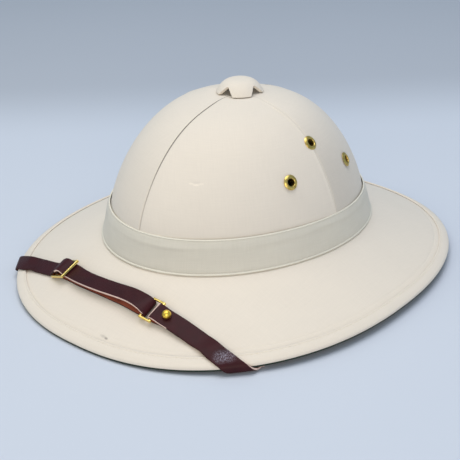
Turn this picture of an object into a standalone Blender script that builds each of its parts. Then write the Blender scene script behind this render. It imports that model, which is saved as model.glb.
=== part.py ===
"""A cloth-covered pith helmet with a leather chin strap laid over the front of its brim.

Metres, +Z up. The origin is under the middle of the hat, on the surface that it rests on.
The front of the hat faces -Y and the wearer's left is +X.
"""
from collections import namedtuple
from math import atan2, cos, hypot, pi, radians, sin

import bmesh
import bpy
from mathutils import Matrix, Vector

MM = 0.001

# ---------------------------------------------------------------- driving dimensions
GAP = 0.3 * MM                 # clearance between touching pieces
AROUND = 56                    # columns round the hat

# Outlines in plan: half width, reach to the front and to the rear of the widest place,
# the y of the widest place, and the power of the curve (2 is an ellipse).
Oval = namedtuple("Oval", "half_width front rear centre_y power")
CROWN_TOP_OF_BAND = Oval(88.8 * MM, 112.8 * MM, 103.0 * MM, 7.2 * MM, 2.0)
CROWN_FOOT = Oval(93.6 * MM, 117.0 * MM, 116.4 * MM, 4.1 * MM, 2.0)
BRIM_EDGE = Oval(151.5 * MM, 169.9 * MM, 175.2 * MM, -2.6 * MM, 2.26)

# crown
CROWN_AXIS_Y = 4.2 * MM        # the crown's highest point
CROWN_HEIGHT = 133.0 * MM
SUMMIT_RISE = 0.8 * MM         # of the flat under the ventilator above the crown's even curve
FOOT_HEIGHT = 33.0 * MM        # where crown and brim meet, on average
FOOT_FRONT_LIFT = 5.0 * MM     # higher at the front, lower at the rear
FOOT_SIDE_LIFT = 0.77 * MM     # and a little higher at the sides
SIDE_PROFILE = (1.26, 3.24)    # powers of the crown's curve, seen from the front
LONG_PROFILE = (1.30, 2.71)    # and seen from the side
CROWN_LEAN = 3.0 * MM          # the rings' centres move forward towards the top
WALL = 2.4 * MM                # shell thickness
CROWN_RINGS = (12, 24, 37, 50, 63, 76, 90)    # degrees down from the summit; the first is flat
BRIM_RINGS = (0.0, 0.15, 0.35, 0.6, 0.82, 0.93, 1.0)    # shares of the brim's width

# brim
EDGE_MIDDLE = 2.5 * MM         # height of the middle of the rolled edge
EDGE_TOP = 3.6 * MM            # height of the shell's own top at its rim
SHELL_REACH = 1.0 * MM         # the shell's rim past the middle of the rolled edge
SIDE_RISE = 4.4 * MM           # the brim's sides stand clear of the surface
RISE_START = 0.12              # |cos| of the plan angle where the sides start to rise
FLARE = 0.10                   # the brim is steeper next to the crown
DROOP = 0.06                   # and turns down again at its edge
DROOP_POWER = 8

# binding and lining
BINDING_WIDTH = 6.0 * MM
BINDING_THICK = 1.1 * MM
EDGE_RADIUS = 2.5 * MM
LINING_THICK = 1.0 * MM
HEM_INNER = -1.9 * MM          # the flat hem, measured from the middle of the rolled edge
HEM_OUTER = 1.6 * MM
HEM_BULGE = 0.5 * MM           # the hem's outer side swells past its flat

# hat band
BAND_HEIGHT = 24.4 * MM
BAND_THICK = 1.3 * MM
PIPING_PROUD = 0.4 * MM
PIPING_HEIGHT = 1.8 * MM

# ventilator
CAP_Y = 7.5 * MM
CAP_RADIUS = 18.2 * MM
CAP_HEIGHT = 10.3 * MM
CAP_POWER = 3.6
CAP_WALL = 2.0 * MM
CAP_COLUMNS = 40
CAP_RINGS = 5
CAP_OVERRUN = 1.04             # the legs are modelled a little long and trimmed flat
NOTCH_REACH = 0.74             # how far out the cap reaches over a gap, as a share of its radius
NOTCH_DEGREES = (3, 24)        # half of a gap, at its point and at the legs' feet
CAP_FOOT_LIFT = 0.9 * MM       # of the legs above the crown
POST_RADIUS = 2.5 * MM
WASHER_RADIUS = 6.0 * MM
WASHER_THICK = 1.5 * MM
VENT_HOLE_RADIUS = 2.4 * MM
VENT_HOLE_CIRCLE = 9.2 * MM

# eyelets: plan angle from the wearer's left towards the rear, and height
Eyelet = namedtuple("Eyelet", "name angle height")
EYELETS = (
    Eyelet("front", radians(-23.3), 89.9 * MM),
    Eyelet("top", radians(0.6), 108.0 * MM),
    Eyelet("rear", radians(25.8), 85.7 * MM),
)
EYELET_HOLE = 2.75 * MM
EYELET_BARREL = 3.2 * MM
EYELET_FLANGE = 5.5 * MM
EYELET_WASHER = 4.4 * MM
EYELET_CLEARANCE = 0.3 * MM
EYELET_STEPS = 12

# chin strap
STRAP_WIDTH = 13.3 * MM
STRAP_THICK = 1.5 * MM
STRAP_LIFT = 1.15 * MM         # middle of the leather above what it lies on
BAR = 2.0 * MM                 # bars of the buckles
FOLD_STEPS = 6
FRAME_HALF_WIDTH = 9.0 * MM    # half the outer width of both buckles
FRAME_SIDE = 1.6 * MM          # width of a buckle's two sides
SLIDE_PLACE = Vector((-54.2, -130.3)) * MM
SLIDE_BAR_PITCH = 8.3 * MM
SLIDE_LIFTS = (1.7 * MM, 6.0 * MM)     # of a buckle's first and last bars above the brim
SLIDE_FOLD = 2.05 * MM         # radius of the leather's middle round a bar
RING_PLACE = Vector((38.3, -135.4)) * MM
RING_BAR_PITCH = 4.5 * MM
RING_LIFTS = (3.45 * MM, 3.85 * MM)
RING_FOLD = 2.4 * MM
STUD_FROM_RING = 12.9 * MM
STUD_ASIDE = 1.35 * MM
STUD_BALL = 3.2 * MM
STUD_SHANK = 1.0 * MM
LEFT_CROSSING = radians(-130.6)    # plan angles where the strap reaches the top of the brim's edge
RIGHT_CROSSING = radians(-53.8)
WRAP_RADIUS = 4.1 * MM
WRAP_ANGLES = (55, 32, 9, -14, -37, -60, -83, -106)
SKEW_RAMP = 22.0 * MM          # over this length a section turns parallel to the edge

# How far from a buckle's middle, how high the leather's middle is above the brim, how far it
# strays towards the crown, and how far it is turned about its own length.
Station = namedtuple("Station", "along lift aside twist")


def stations(table):
    """The table's lengths are in millimetres and its twists in degrees."""
    return [Station(along * MM, lift * MM, aside * MM, radians(twist)) for along, lift, aside, twist in table]


OVER_SLIDE = stations((        # from the left edge, over the slide, under its last bar, to the ring
    (-47, 1.8, -0.6, 9), (-38, 1.4, 0.3, 4), (-26, 1.2, -0.2, -1), (-15, 1.2, -0.6, -1),
    (-11.8, 1.8, -0.5, 0), (-9.8, 3.2, -0.4, 0), (-7.6, 4.5, -0.2, 0), (-4.6, 6.3, 0.1, -1),
    (-2, 7.4, 0.4, -2), (0.4, 7.75, 0.5, -3), (2.4, 7.3, 0.5, -3), (4.2, 5.85, 0.4, -3), (5.8, 4.3, 0.2, -3),
    (7.6, 3.6, 0, -4), (10, 3.4, -0.2, -6), (14, 3.6, -0.9, -9), (20, 4.0, -1.9, -12), (34, 4.35, -2.7, -15),
    (44, 4.5, -2.5, -16), (54, 4.85, -1.8, -17), (64, 5.4, -0.7, -16), (72, 6.1, 0.1, -14),
    (78, 6.5, 0.4, -13), (83, 6.7, 0.4, -10), (86, 6.7, 0.3, -6), (88.3, 6.05, 0.1, -3)))
UNDER_ARCH = stations((        # from the slide back to the ring, on the brim
    (12, 1.15, -0.9, 0), (20, 1.15, -1.8, 0), (30, 1.15, -2.25, 0), (45, 1.15, -2.25, 0),
    (60, 1.15, -1.75, 0), (70, 1.15, -1.1, 0), (80, 1.15, -0.8, 0)))
PAST_STUD = stations((         # from the ring, over the stud, off the folded end, to the right edge
    (8, 5.1, 0.2, -2), (12, 4.1, 0.3, -2), (14.3, 3.85, 0.4, -2), (20, 3.4, 0.7, -1), (28, 3.1, 0.8, 1),
    (33, 2.4, 1.0, 1), (38, 1.8, 1.2, 1), (44, 1.5, 1.2, 2), (48, 1.6, 0.9, 5), (52, 1.9, 0.3, 7),
    (56, 1.8, 0.1, 5)))
FOLDED_END = 28.0 * MM         # the short part's folded end, from the ring
FOLDED_ASIDE = 1.3 * MM        # and how far it strays from the line

# The hidden way from the edge to the temple, on the wearer's left; turned is how far
# the leather has turned from lying under the brim to lying against the crown's wall.
Hidden = namedtuple("Hidden", "x y z turned")
HIDDEN_WAY = (
    Hidden(101.5 * MM, -76.0 * MM, 11.5 * MM, 0.25),
    Hidden(92.5 * MM, -36.0 * MM, 19.5 * MM, 0.7),
    Hidden(86.6 * MM, -13.0 * MM, 28.5 * MM, 0.95),
    Hidden(88.7 * MM, 1.0 * MM, 36.5 * MM, 1.0),
    Hidden(88.3 * MM, 13.0 * MM, 38.5 * MM, 1.0),
)
AGAINST_WALL = (-1.0, 0.0, -0.2)       # out of the leather's grain side, on the wearer's left
RIVET_PLACE = (88.6 * MM, 5.5 * MM, 37.3 * MM)    # on the wearer's left, middle of the leather
RIVET_SHANK = 1.6 * MM
RIVET_HEAD = 4.2 * MM
RIVET_HEAD_THICK = 1.0 * MM

UP = Vector((0, 0, 1))

# ---------------------------------------------------------------- the scene's collections
for old in list(bpy.data.objects):
    bpy.data.objects.remove(old, do_unlink=True)


def new_collection(name):
    collection = bpy.data.collections.new(name)
    bpy.context.scene.collection.children.link(collection)
    return collection


PARTS = new_collection("pith_helmet")
CUTTERS = new_collection("cutters")
MATERIALS = {}


def linear(channel):
    """An sRGB channel from 0 to 255 as the linear value that a shader takes."""
    share = channel / 255
    return share / 12.92 if share <= 0.04045 else ((share + 0.055) / 1.055) ** 2.4


def material(name, colour, roughness, metallic=0.0):
    made = bpy.data.materials.new(name)
    made.use_nodes = True
    shader = made.node_tree.nodes["Principled BSDF"]
    shader.inputs["Base Color"].default_value = (*map(linear, colour), 1)
    shader.inputs["Roughness"].default_value = roughness
    shader.inputs["Metallic"].default_value = metallic
    MATERIALS[name] = made


material("cream_cloth", (226, 220, 206), 0.9)
material("band_cloth", (208, 203, 188), 0.9)
material("green_cloth", (38, 52, 42), 0.92)
material("burgundy_leather", (64, 44, 47), 0.45)
material("gold_brass", (212, 172, 84), 0.28, 1.0)
material("plain_steel", (150, 150, 148), 0.4, 1.0)


def add_object(name, mesh, look):
    made = bpy.data.objects.new(name, mesh)
    PARTS.objects.link(made)
    mesh.materials.append(MATERIALS[look])
    return made


def smooth(obj, angle=35):
    obj.data.shade_smooth()
    obj.data.set_sharp_from_angle(angle=radians(angle))


# ---------------------------------------------------------------- the hat's surfaces
def ease(share):
    share = min(max(share, 0.0), 1.0)
    return share * share * (3 - 2 * share)


def oval_radius(oval, angle):
    """Distance from the crown's axis to an oval, along a plan angle, found by halving."""
    near, far = 0.0, 2 * BRIM_EDGE.rear
    for _ in range(45):
        middle = (near + far) / 2
        x = middle * cos(angle)
        y = CROWN_AXIS_Y + middle * sin(angle) - oval.centre_y
        reach = oval.front if y < 0 else oval.rear
        inside = abs(x / oval.half_width) ** oval.power + abs(y / reach) ** oval.power < 1
        near, far = (middle, far) if inside else (near, middle)
    return near


def place(radius, angle, height):
    return Vector((radius * cos(angle), CROWN_AXIS_Y + radius * sin(angle), height))


def foot_height(angle):
    return FOOT_HEIGHT + FOOT_SIDE_LIFT * cos(2 * angle) - FOOT_FRONT_LIFT * sin(angle)


def edge_rise(angle):
    return SIDE_RISE * ease((abs(cos(angle)) - RISE_START) / (1 - RISE_START))


def crown_oval(share):
    """The crown's ring at a share of the height from the band's top (0) to the summit (1)."""
    across = (1 - share ** SIDE_PROFILE[0]) ** (1 / SIDE_PROFILE[1])
    along = (1 - share ** LONG_PROFILE[0]) ** (1 / LONG_PROFILE[1])
    base = CROWN_TOP_OF_BAND
    return Oval(base.half_width * across, base.front * along, base.rear * along,
                base.centre_y - CROWN_LEAN * (1 - along), base.power)


def crown_point(angle, share):
    start = foot_height(angle) + BAND_HEIGHT
    height = start * (1 - share) + CROWN_HEIGHT * share
    return place(oval_radius(crown_oval(share), angle), angle, height)


def wall_point(angle, share, out=0.0):
    """On the crown's wall behind the band, from its foot (0) to the band's top (1)."""
    foot = oval_radius(CROWN_FOOT, angle)
    top = oval_radius(CROWN_TOP_OF_BAND, angle)
    return place(foot + (top - foot) * share + out, angle, foot_height(angle) + BAND_HEIGHT * share)


def rim_radius(angle):
    return oval_radius(BRIM_EDGE, angle) + SHELL_REACH


def brim_drop(share):
    """How much of the brim's height is lost at a share of its width."""
    return share + FLARE * share * (1 - share) - DROOP * (share - share ** DROOP_POWER)


def brim_point(angle, share, depth=0.0):
    """On the brim's top from the crown's foot (0) to its rim (1), or depth below it."""
    inner, outer = oval_radius(CROWN_FOOT, angle), rim_radius(angle)
    high, low = foot_height(angle), edge_rise(angle) + EDGE_TOP
    step = 0.001
    slope = ((high - low) * (brim_drop(share + step) - brim_drop(share - step))
             / (2 * step * (outer - inner)))
    stretch = hypot(1, slope)
    radius = inner + (outer - inner) * share - depth * slope / stretch
    height = high - (high - low) * brim_drop(share) - depth / stretch
    return place(radius, angle, height)


def brim_top(spot):
    """Height that a strap lies on at a place in plan, lifted where its corner meets the binding."""
    angle = atan2(spot.y - CROWN_AXIS_Y, spot.x)
    radius = hypot(spot.x, spot.y - CROWN_AXIS_Y)
    inner, outer = oval_radius(CROWN_FOOT, angle), rim_radius(angle)
    share = (radius - inner) / (outer - inner)
    high, low = foot_height(angle), edge_rise(angle) + EDGE_TOP
    bound = ease((radius - outer + BINDING_WIDTH + STRAP_WIDTH / 2 + 5 * MM) / (9 * MM))
    return high - (high - low) * brim_drop(share) + bound * (BINDING_THICK + GAP)


def brim_normal(spot):
    step = 2 * MM
    right, back = Vector((step, 0)), Vector((0, step))
    slope_x = (brim_top(spot + right) - brim_top(spot - right)) / (2 * step)
    slope_y = (brim_top(spot + back) - brim_top(spot - back)) / (2 * step)
    return Vector((-slope_x, -slope_y, 1)).normalized()


# ---------------------------------------------------------------- ways of making a mesh
def loft(name, rings, look, ends=(True, True), round_trip=False):
    """A skin over rings of points, with its ends closed or open, or joined to each other."""
    skin = bmesh.new()
    grid = [[skin.verts.new(point) for point in ring] for ring in rings]
    following = grid[1:] + grid[:1] if round_trip else grid[1:]
    for first, second in zip(grid, following):
        for i in range(len(first)):
            j = (i + 1) % len(first)
            skin.faces.new((first[i], first[j], second[j], second[i]))
    if not round_trip:
        for closed, ring in zip(ends, (grid[0], grid[-1])):
            if closed:
                skin.faces.new(ring)
    bmesh.ops.recalc_face_normals(skin, faces=skin.faces)
    mesh = bpy.data.meshes.new(name)
    skin.to_mesh(mesh)
    skin.free()
    return add_object(name, mesh, look)


def columns():
    return [2 * pi * i / AROUND for i in range(AROUND)]


def ring_piece(name, section, look):
    """A closed section, given by a function of the plan angle, carried round the hat."""
    made = loft(name, [section(angle) for angle in columns()], look, round_trip=True)
    smooth(made)
    return made


def turned(name, profile, look, steps, on_axis=False):
    """A profile of (radius, height) points, outer side from top to bottom, spun about Z."""
    mesh = bpy.data.meshes.new(name)
    count = len(profile)
    edges = [(i, i + 1) for i in range(count - 1)]
    if not on_axis:
        edges.append((count - 1, 0))
    mesh.from_pydata([(radius, 0, height) for radius, height in profile], edges, [])
    made = add_object(name, mesh, look)
    screw = made.modifiers.new("spin", "SCREW")
    screw.axis = "Z"
    screw.angle = 2 * pi
    screw.steps = screw.render_steps = steps
    screw.use_merge_vertices = True
    screw.merge_threshold = 0.00001
    screw.use_smooth_shade = True
    return made


def cutter(obj):
    """Keeps an object as a cutter only."""
    for collection in list(obj.users_collection):
        collection.objects.unlink(obj)
    CUTTERS.objects.link(obj)
    obj.hide_render = True
    obj.display_type = "WIRE"
    return obj


def drill(name, radius, length, spot, direction):
    """A cylinder to cut a hole with, its middle at spot."""
    bpy.ops.mesh.primitive_cylinder_add(vertices=16, radius=radius, depth=length)
    made = bpy.context.active_object
    made.name = name
    made.matrix_world = Matrix.Translation(spot) @ direction.to_track_quat("Z", "Y").to_matrix().to_4x4()
    return cutter(made)


def block(name, size, spot):
    bpy.ops.mesh.primitive_cube_add(size=1, location=spot)
    made = bpy.context.active_object
    made.name = name
    made.data.transform(Matrix.Diagonal((*size, 1)))
    return made


def cut(obj, tool, operation="DIFFERENCE"):
    boolean = obj.modifiers.new("cut " + tool.name, "BOOLEAN")
    boolean.operation = operation
    boolean.solver = "EXACT"
    boolean.object = tool


# ---------------------------------------------------------------- shell, binding, lining, band
def crown_share(degrees):
    """The share of the crown's height at a ring, counted in degrees down from the summit."""
    return max(1 - sin(radians(degrees)) ** SIDE_PROFILE[1], 0.0) ** (1 / SIDE_PROFILE[0])


def summit_height():
    """The crown ends in a small flat under the ventilator."""
    start = FOOT_HEIGHT + BAND_HEIGHT
    return start + (CROWN_HEIGHT - start) * crown_share(CROWN_RINGS[0]) + SUMMIT_RISE


def shell_rings():
    rings = [[crown_point(angle, crown_share(degrees)) for angle in columns()]
             for degrees in CROWN_RINGS]
    for point in rings[0]:
        point.z = summit_height()
    return rings + [[brim_point(angle, share) for angle in columns()] for share in BRIM_RINGS]


def add_wall(obj, thickness):
    """Gives an open skin a wall on its inner side."""
    solidify = obj.modifiers.new("wall", "SOLIDIFY")
    solidify.thickness = thickness
    solidify.offset = -1
    solidify.use_even_offset = True


def make_shell():
    shell = loft("helmet_shell", shell_rings(), "cream_cloth", ends=(True, False))
    add_wall(shell, WALL)
    for spot, outward, name in eyelet_spots():
        cut(shell, drill("hole_" + name, EYELET_BARREL + GAP, 16 * MM, spot, outward))
    top = Vector((0, CAP_Y, summit_height()))
    cut(shell, drill("hole_post", POST_RADIUS + GAP, 16 * MM, top, UP))
    for i in range(4):
        turn = i * pi / 2
        spot = top + Vector((cos(turn), sin(turn), 0)) * VENT_HOLE_CIRCLE
        cut(shell, drill(f"hole_vent_{i}", VENT_HOLE_RADIUS, 16 * MM, spot, UP))
    for side in (1, -1):
        spot = rivet_spot(side)
        cut(shell, drill(f"hole_rivet_{side}", RIVET_SHANK + GAP, 30 * MM, spot, against_wall(side)))
    smooth(shell)


def binding_section(angle):
    """Over the rim from the seam on top, round the outside, down to the lining."""
    rise = edge_rise(angle)
    middle = oval_radius(BRIM_EDGE, angle)
    width = rim_radius(angle) - oval_radius(CROWN_FOOT, angle)
    inside = GAP
    outside = GAP + BINDING_THICK

    def over(back, lift):
        return brim_point(angle, 1 - back / width, -lift)

    def beside(out, height):
        return place(middle + out, angle, height + rise)

    return [
        over(BINDING_WIDTH, inside),
        over(0.0, inside),
        beside(SHELL_REACH + 0.4 * MM, 1.8 * MM),
        beside(EDGE_RADIUS, 1.8 * MM),
        beside(EDGE_RADIUS + 0.1 * MM, 2.7 * MM),
        beside(EDGE_RADIUS - 0.5 * MM, 4.3 * MM),
        over(1.0 * MM, outside),
        over(BINDING_WIDTH - 0.8 * MM, outside),
        over(BINDING_WIDTH + 0.2 * MM, outside - 0.6 * MM),
    ]


def lining_section(angle):
    """Under the brim from a flat hem at the edge to the opening for the head."""
    rise = edge_rise(angle)
    middle = oval_radius(BRIM_EDGE, angle)
    top = WALL + GAP
    low = top + LINING_THICK
    shares = (0.95, 0.78, 0.42, 0.03)
    upper = [brim_point(angle, share, top) for share in reversed(shares)]
    lower = [brim_point(angle, share, low) for share in shares]
    return [
        place(middle + HEM_OUTER, angle, rise),
        place(middle + HEM_INNER, angle, rise),
        *lower,
        *upper,
        place(middle + HEM_INNER / 3, angle, rise + 1.0 * MM),
        place(middle + HEM_OUTER + HEM_BULGE, angle, rise + 1.45 * MM),
        place(middle + HEM_OUTER + HEM_BULGE, angle, rise + 1.0 * MM),
    ]


def band_section(angle):
    inner = GAP
    outer = GAP + BAND_THICK
    piping = outer + PIPING_PROUD
    bead = PIPING_HEIGHT / BAND_HEIGHT
    slope_drop = Vector((0, 0, -0.45 * outer))
    above = Vector((0, 0, GAP))
    return [
        wall_point(angle, 0.0, inner) + above,
        wall_point(angle, 0.0, piping) + above + slope_drop,
        wall_point(angle, bead, piping),
        wall_point(angle, bead * 1.4, outer),
        wall_point(angle, 1 - bead * 1.4, outer),
        wall_point(angle, 1 - bead, piping),
        wall_point(angle, 1.0, piping),
        wall_point(angle, 1.0, inner),
    ]


# ---------------------------------------------------------------- ventilator
def cap_reach(angle):
    """How far down the cap's curve goes: to a foot on a leg, less over a gap."""
    off = abs((angle + pi / 4) % (pi / 2) - pi / 4)
    start, end = (radians(value) for value in NOTCH_DEGREES)
    down = NOTCH_REACH + (1 - NOTCH_REACH) * max(off - start, 0) / (end - start)
    return min(down, CAP_OVERRUN)


def cap_point(angle, share):
    radius = CAP_RADIUS * share
    height = summit_height() + CAP_HEIGHT * (1 - share ** CAP_POWER)
    return Vector((radius * cos(angle), CAP_Y + radius * sin(angle), height))


def make_cap():
    angles = [2 * pi * i / CAP_COLUMNS for i in range(CAP_COLUMNS)]
    rings = [[cap_point(angle, cap_reach(angle) * (ring / CAP_RINGS) ** 0.8) for angle in angles]
             for ring in range(1, CAP_RINGS + 1)]
    cap = loft("vent_cap", rings, "cream_cloth", ends=(True, False))
    add_wall(cap, CAP_WALL)
    trim = 10 * MM
    size = 4 * CAP_RADIUS
    floor = block("cap_trim", (size, size, trim), (0, CAP_Y, summit_height() + CAP_FOOT_LIFT - trim / 2))
    cut(cap, cutter(floor))
    smooth(cap)


def make_post():
    under_cap = summit_height() + CAP_HEIGHT - CAP_WALL - GAP
    washer_top = summit_height() - WALL - GAP
    washer_low = washer_top - WASHER_THICK
    profile = [(0, under_cap), (POST_RADIUS, under_cap), (POST_RADIUS, washer_top),
               (WASHER_RADIUS, washer_top), (WASHER_RADIUS, washer_low), (0, washer_low)]
    post = turned("vent_post", profile, "plain_steel", 16, on_axis=True)
    post.location = (0, CAP_Y, 0)


# ---------------------------------------------------------------- eyelets
def eyelet_frame(eyelet):
    """Where an eyelet sits on the wearer's left, and the direction out of the crown there."""
    start = foot_height(eyelet.angle) + BAND_HEIGHT
    share = (eyelet.height - start) / (CROWN_HEIGHT - start)
    spot = crown_point(eyelet.angle, share)
    along = crown_point(eyelet.angle + 0.01, share) - crown_point(eyelet.angle - 0.01, share)
    upward = crown_point(eyelet.angle, share + 0.01) - crown_point(eyelet.angle, share - 0.01)
    return spot, along.cross(upward).normalized()


def eyelet_spots():
    flip = Vector((-1, 1, 1))
    for eyelet in EYELETS:
        spot, outward = eyelet_frame(eyelet)
        yield spot, outward, "left_" + eyelet.name
        yield spot * flip, outward * flip, "right_" + eyelet.name


def make_eyelets():
    low = -(WALL + EYELET_CLEARANCE + 0.6 * MM)
    profile = [
        (EYELET_HOLE, 0.7 * MM), (3.8 * MM, 1.3 * MM), (EYELET_FLANGE, EYELET_CLEARANCE),
        (EYELET_BARREL, EYELET_CLEARANCE), (EYELET_BARREL, low),
        (EYELET_WASHER, low), (EYELET_WASHER, low - 0.5 * MM), (EYELET_HOLE, low - 0.5 * MM),
    ]
    for spot, outward, name in eyelet_spots():
        made = turned("eyelet_" + name, profile, "gold_brass", EYELET_STEPS)
        made.matrix_world = (Matrix.Translation(spot)
                             @ outward.to_track_quat("Z", "Y").to_matrix().to_4x4())


# ---------------------------------------------------------------- chin strap
# A row of the strap is its middle, the direction out of its grain side, and a direction that
# its section lies along, or None where the section is square to the strap.
Row = namedtuple("Row", "middle grain along")


def edge_middle(angle):
    return place(oval_radius(BRIM_EDGE, angle), angle, EDGE_MIDDLE + edge_rise(angle))


def edge_frame(angle):
    """The middle of the rolled edge, the direction along it and the direction out of it."""
    step = 0.01
    tangent = edge_middle(angle + step) - edge_middle(angle - step)
    speed = tangent.length / (2 * step)
    tangent.normalize()
    return edge_middle(angle), tangent, tangent.cross(UP).normalized(), speed


def wrap_rows(crossing, heading):
    """Round the edge of the brim, on the shortest way for a strap that comes from heading."""
    _, tangent, outward, speed = edge_frame(crossing)
    slant = heading.dot(tangent) / heading.dot(outward)
    rows = []
    for degrees in WRAP_ANGLES:
        turn = radians(degrees)
        shift = WRAP_RADIUS * slant * (pi / 2 - turn)
        middle, tangent, outward, _ = edge_frame(crossing + shift / speed)
        spoke = outward * cos(turn) + UP * sin(turn)
        rows.append(Row(middle + spoke * WRAP_RADIUS, spoke, tangent))
    onward = (rows[-1].middle - rows[-2].middle).normalized()
    rows.append(Row(rows[-1].middle + onward * STRAP_WIDTH / 2, rows[-1].grain, None))
    return rows


def against_wall(side):
    x, y, z = AGAINST_WALL
    return Vector((side * x, y, z)).normalized()


def hidden_rows(side):
    """From the edge, free under the brim, to the crown's wall at the temple."""
    rows = []
    for step in HIDDEN_WAY:
        under = Vector((-0.35 * side, 0.2, -1)).normalized()
        against = against_wall(side)
        grain = under.lerp(against, step.turned).normalized()
        rows.append(Row(Vector((side * step.x, step.y, step.z)), grain, None))
    return rows


def on_brim(origin, heading, along, lift, aside=0.0, twist=0.0):
    """A row above the brim; see Station."""
    spot = origin + heading * along + heading.orthogonal() * aside
    normal = brim_normal(spot)
    across = normal.cross(Vector((heading.x, heading.y, 0))).normalized()
    ground = Vector((spot.x, spot.y, brim_top(spot)))
    return Row(ground + normal * lift, normal * cos(twist) - across * sin(twist), None)


def fold_rows(origin, heading, bar, lift, radius, opens):
    """Half a turn round a bar, from the top layer to the lower one; opens is +1 or -1."""
    rows = []
    for i in range(FOLD_STEPS + 1):
        turn = pi / 2 - pi * i / FOLD_STEPS
        row = on_brim(origin, heading, bar + opens * radius * cos(turn), lift + radius * sin(turn))
        forward = Vector((heading.x, heading.y, 0))
        across = row.grain.cross(forward).normalized()
        ahead = across.cross(row.grain)
        spoke = ahead * (opens * cos(turn)) + row.grain * sin(turn)
        rows.append(Row(row.middle, spoke, None))
    return rows


def refine(rows, spacing):
    """Adds rows on a smooth curve where two lie further apart than spacing."""
    fine = []
    last = len(rows) - 1
    for i in range(last):
        before, start, end, after = (rows[max(i - 1, 0)], rows[i], rows[i + 1], rows[min(i + 2, last)])
        pieces = max(1, round((end.middle - start.middle).length / spacing))
        pull_start = (end.middle - before.middle) * 0.5
        pull_end = (after.middle - start.middle) * 0.5
        reach = (end.middle - start.middle).length
        pull_start = pull_start.normalized() * reach
        pull_end = pull_end.normalized() * reach
        for j in range(pieces):
            t = j / pieces
            middle = (start.middle * (2 * t ** 3 - 3 * t ** 2 + 1) + pull_start * (t ** 3 - 2 * t ** 2 + t)
                      + end.middle * (3 * t ** 2 - 2 * t ** 3) + pull_end * (t ** 3 - t ** 2))
            grain = start.grain.lerp(end.grain, t).normalized()
            fine.append(Row(middle, grain, start.along if j == 0 else None))
    fine.append(rows[last])
    return fine


def section_leans(rows, tangents, acrosses):
    """How far each section leans along the strap, full at the edge and fading away from it."""
    travelled = [0.0]
    for row, following in zip(rows, rows[1:]):
        travelled.append(travelled[-1] + (following.middle - row.middle).length)
    full = {i: row.along.dot(tangents[i]) / row.along.dot(acrosses[i])
            for i, row in enumerate(rows) if row.along}
    leans = []
    for here in travelled:
        nearest = min(full, key=lambda i: abs(travelled[i] - here))
        leans.append(full[nearest] * (1 - ease(abs(travelled[nearest] - here) / SKEW_RAMP)))
    return leans


def strap(name, rows):
    """A flat strap of even width and thickness along its rows."""
    last = len(rows) - 1
    tangents = [(rows[min(i + 1, last)].middle - rows[max(i - 1, 0)].middle).normalized()
                for i in range(last + 1)]
    grains = [(row.grain - tangent * row.grain.dot(tangent)).normalized()
              for row, tangent in zip(rows, tangents)]
    acrosses = [grain.cross(tangent) for grain, tangent in zip(grains, tangents)]
    leans = section_leans(rows, tangents, acrosses)
    rings = []
    for row, tangent, grain, across, lean in zip(rows, tangents, grains, acrosses, leans):
        half = across + tangent * lean
        if row.along:
            half = row.along * (half.length if half.dot(row.along) > 0 else -half.length)
            grain = row.grain
        half = half * (STRAP_WIDTH / 2)
        deep = grain * (STRAP_THICK / 2)
        rings.append([row.middle + half + deep, row.middle - half + deep,
                      row.middle - half - deep, row.middle + half - deep])
    return loft(name, rings, "burgundy_leather")


def strap_length(rows):
    return sum((second.middle - first.middle).length for first, second in zip(rows, rows[1:]))


def headings():
    """Plan directions of the strap: slide to ring, slide to left edge, ring to right edge."""
    left = edge_middle(LEFT_CROSSING).xy
    right = edge_middle(RIGHT_CROSSING).xy
    return ((RING_PLACE - SLIDE_PLACE).normalized(), (left - SLIDE_PLACE).normalized(),
            (right - RING_PLACE).normalized())


def ring_heading():
    """The ring lies midway between the directions of the two straps that it joins."""
    to_ring, _, to_right = headings()
    return (to_ring + to_right).normalized()


def turned_over(row):
    return Row(row.middle, -row.grain, None)


def long_rows():
    to_ring, to_left, _ = headings()
    slide_fold = fold_rows(SLIDE_PLACE, to_ring, 0.0, sum(SLIDE_LIFTS) / 2, SLIDE_FOLD, -1)[1:]
    lower = [turned_over(on_brim(SLIDE_PLACE, to_ring, *station)) for station in UNDER_ARCH]
    ring_fold = fold_rows(RING_PLACE, ring_heading(), -RING_BAR_PITCH, RING_LIFTS[0], RING_FOLD, 1)[:1:-1]
    over = [on_brim(SLIDE_PLACE, to_ring if station.along > 0 else -to_left, *station)
            for station in reversed(OVER_SLIDE)]
    wrap = wrap_rows(LEFT_CROSSING, Vector((*to_left, 0)))
    return refine(slide_fold + lower + ring_fold, 8 * MM)[:-1] + refine(
        [ring_fold[-1]] + over + wrap + hidden_rows(-1), 6 * MM)


def short_rows():
    _, _, to_right = headings()
    lower = [turned_over(on_brim(RING_PLACE, to_right, along, STRAP_LIFT, FOLDED_ASIDE))
             for along in (FOLDED_END, 14 * MM)]
    fold = fold_rows(RING_PLACE, ring_heading(), RING_BAR_PITCH, RING_LIFTS[1], RING_FOLD, -1)[::-1]
    over = [on_brim(RING_PLACE, to_right, *station) for station in PAST_STUD]
    wrap = wrap_rows(RIGHT_CROSSING, Vector((*to_right, 0)))
    return refine(lower + fold + over + wrap + hidden_rows(1), 6 * MM)


def rivet_spot(side):
    """Middle of the leather where a rivet holds it to the crown's wall."""
    x, y, z = RIVET_PLACE
    return Vector((side * x, y, z))


def make_straps():
    long_part = strap("strap_long", long_rows())
    short_part = strap("strap_short", short_rows())
    for part, side, name in ((short_part, 1, "rivet_hole_left"), (long_part, -1, "rivet_hole_right")):
        cut(part, drill(name, RIVET_SHANK + GAP, 8 * MM, rivet_spot(side), against_wall(side)))
    spot, normal = stud_place()
    cut(short_part, drill("stud_hole", STUD_SHANK + GAP, 12 * MM, spot, normal))


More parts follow.
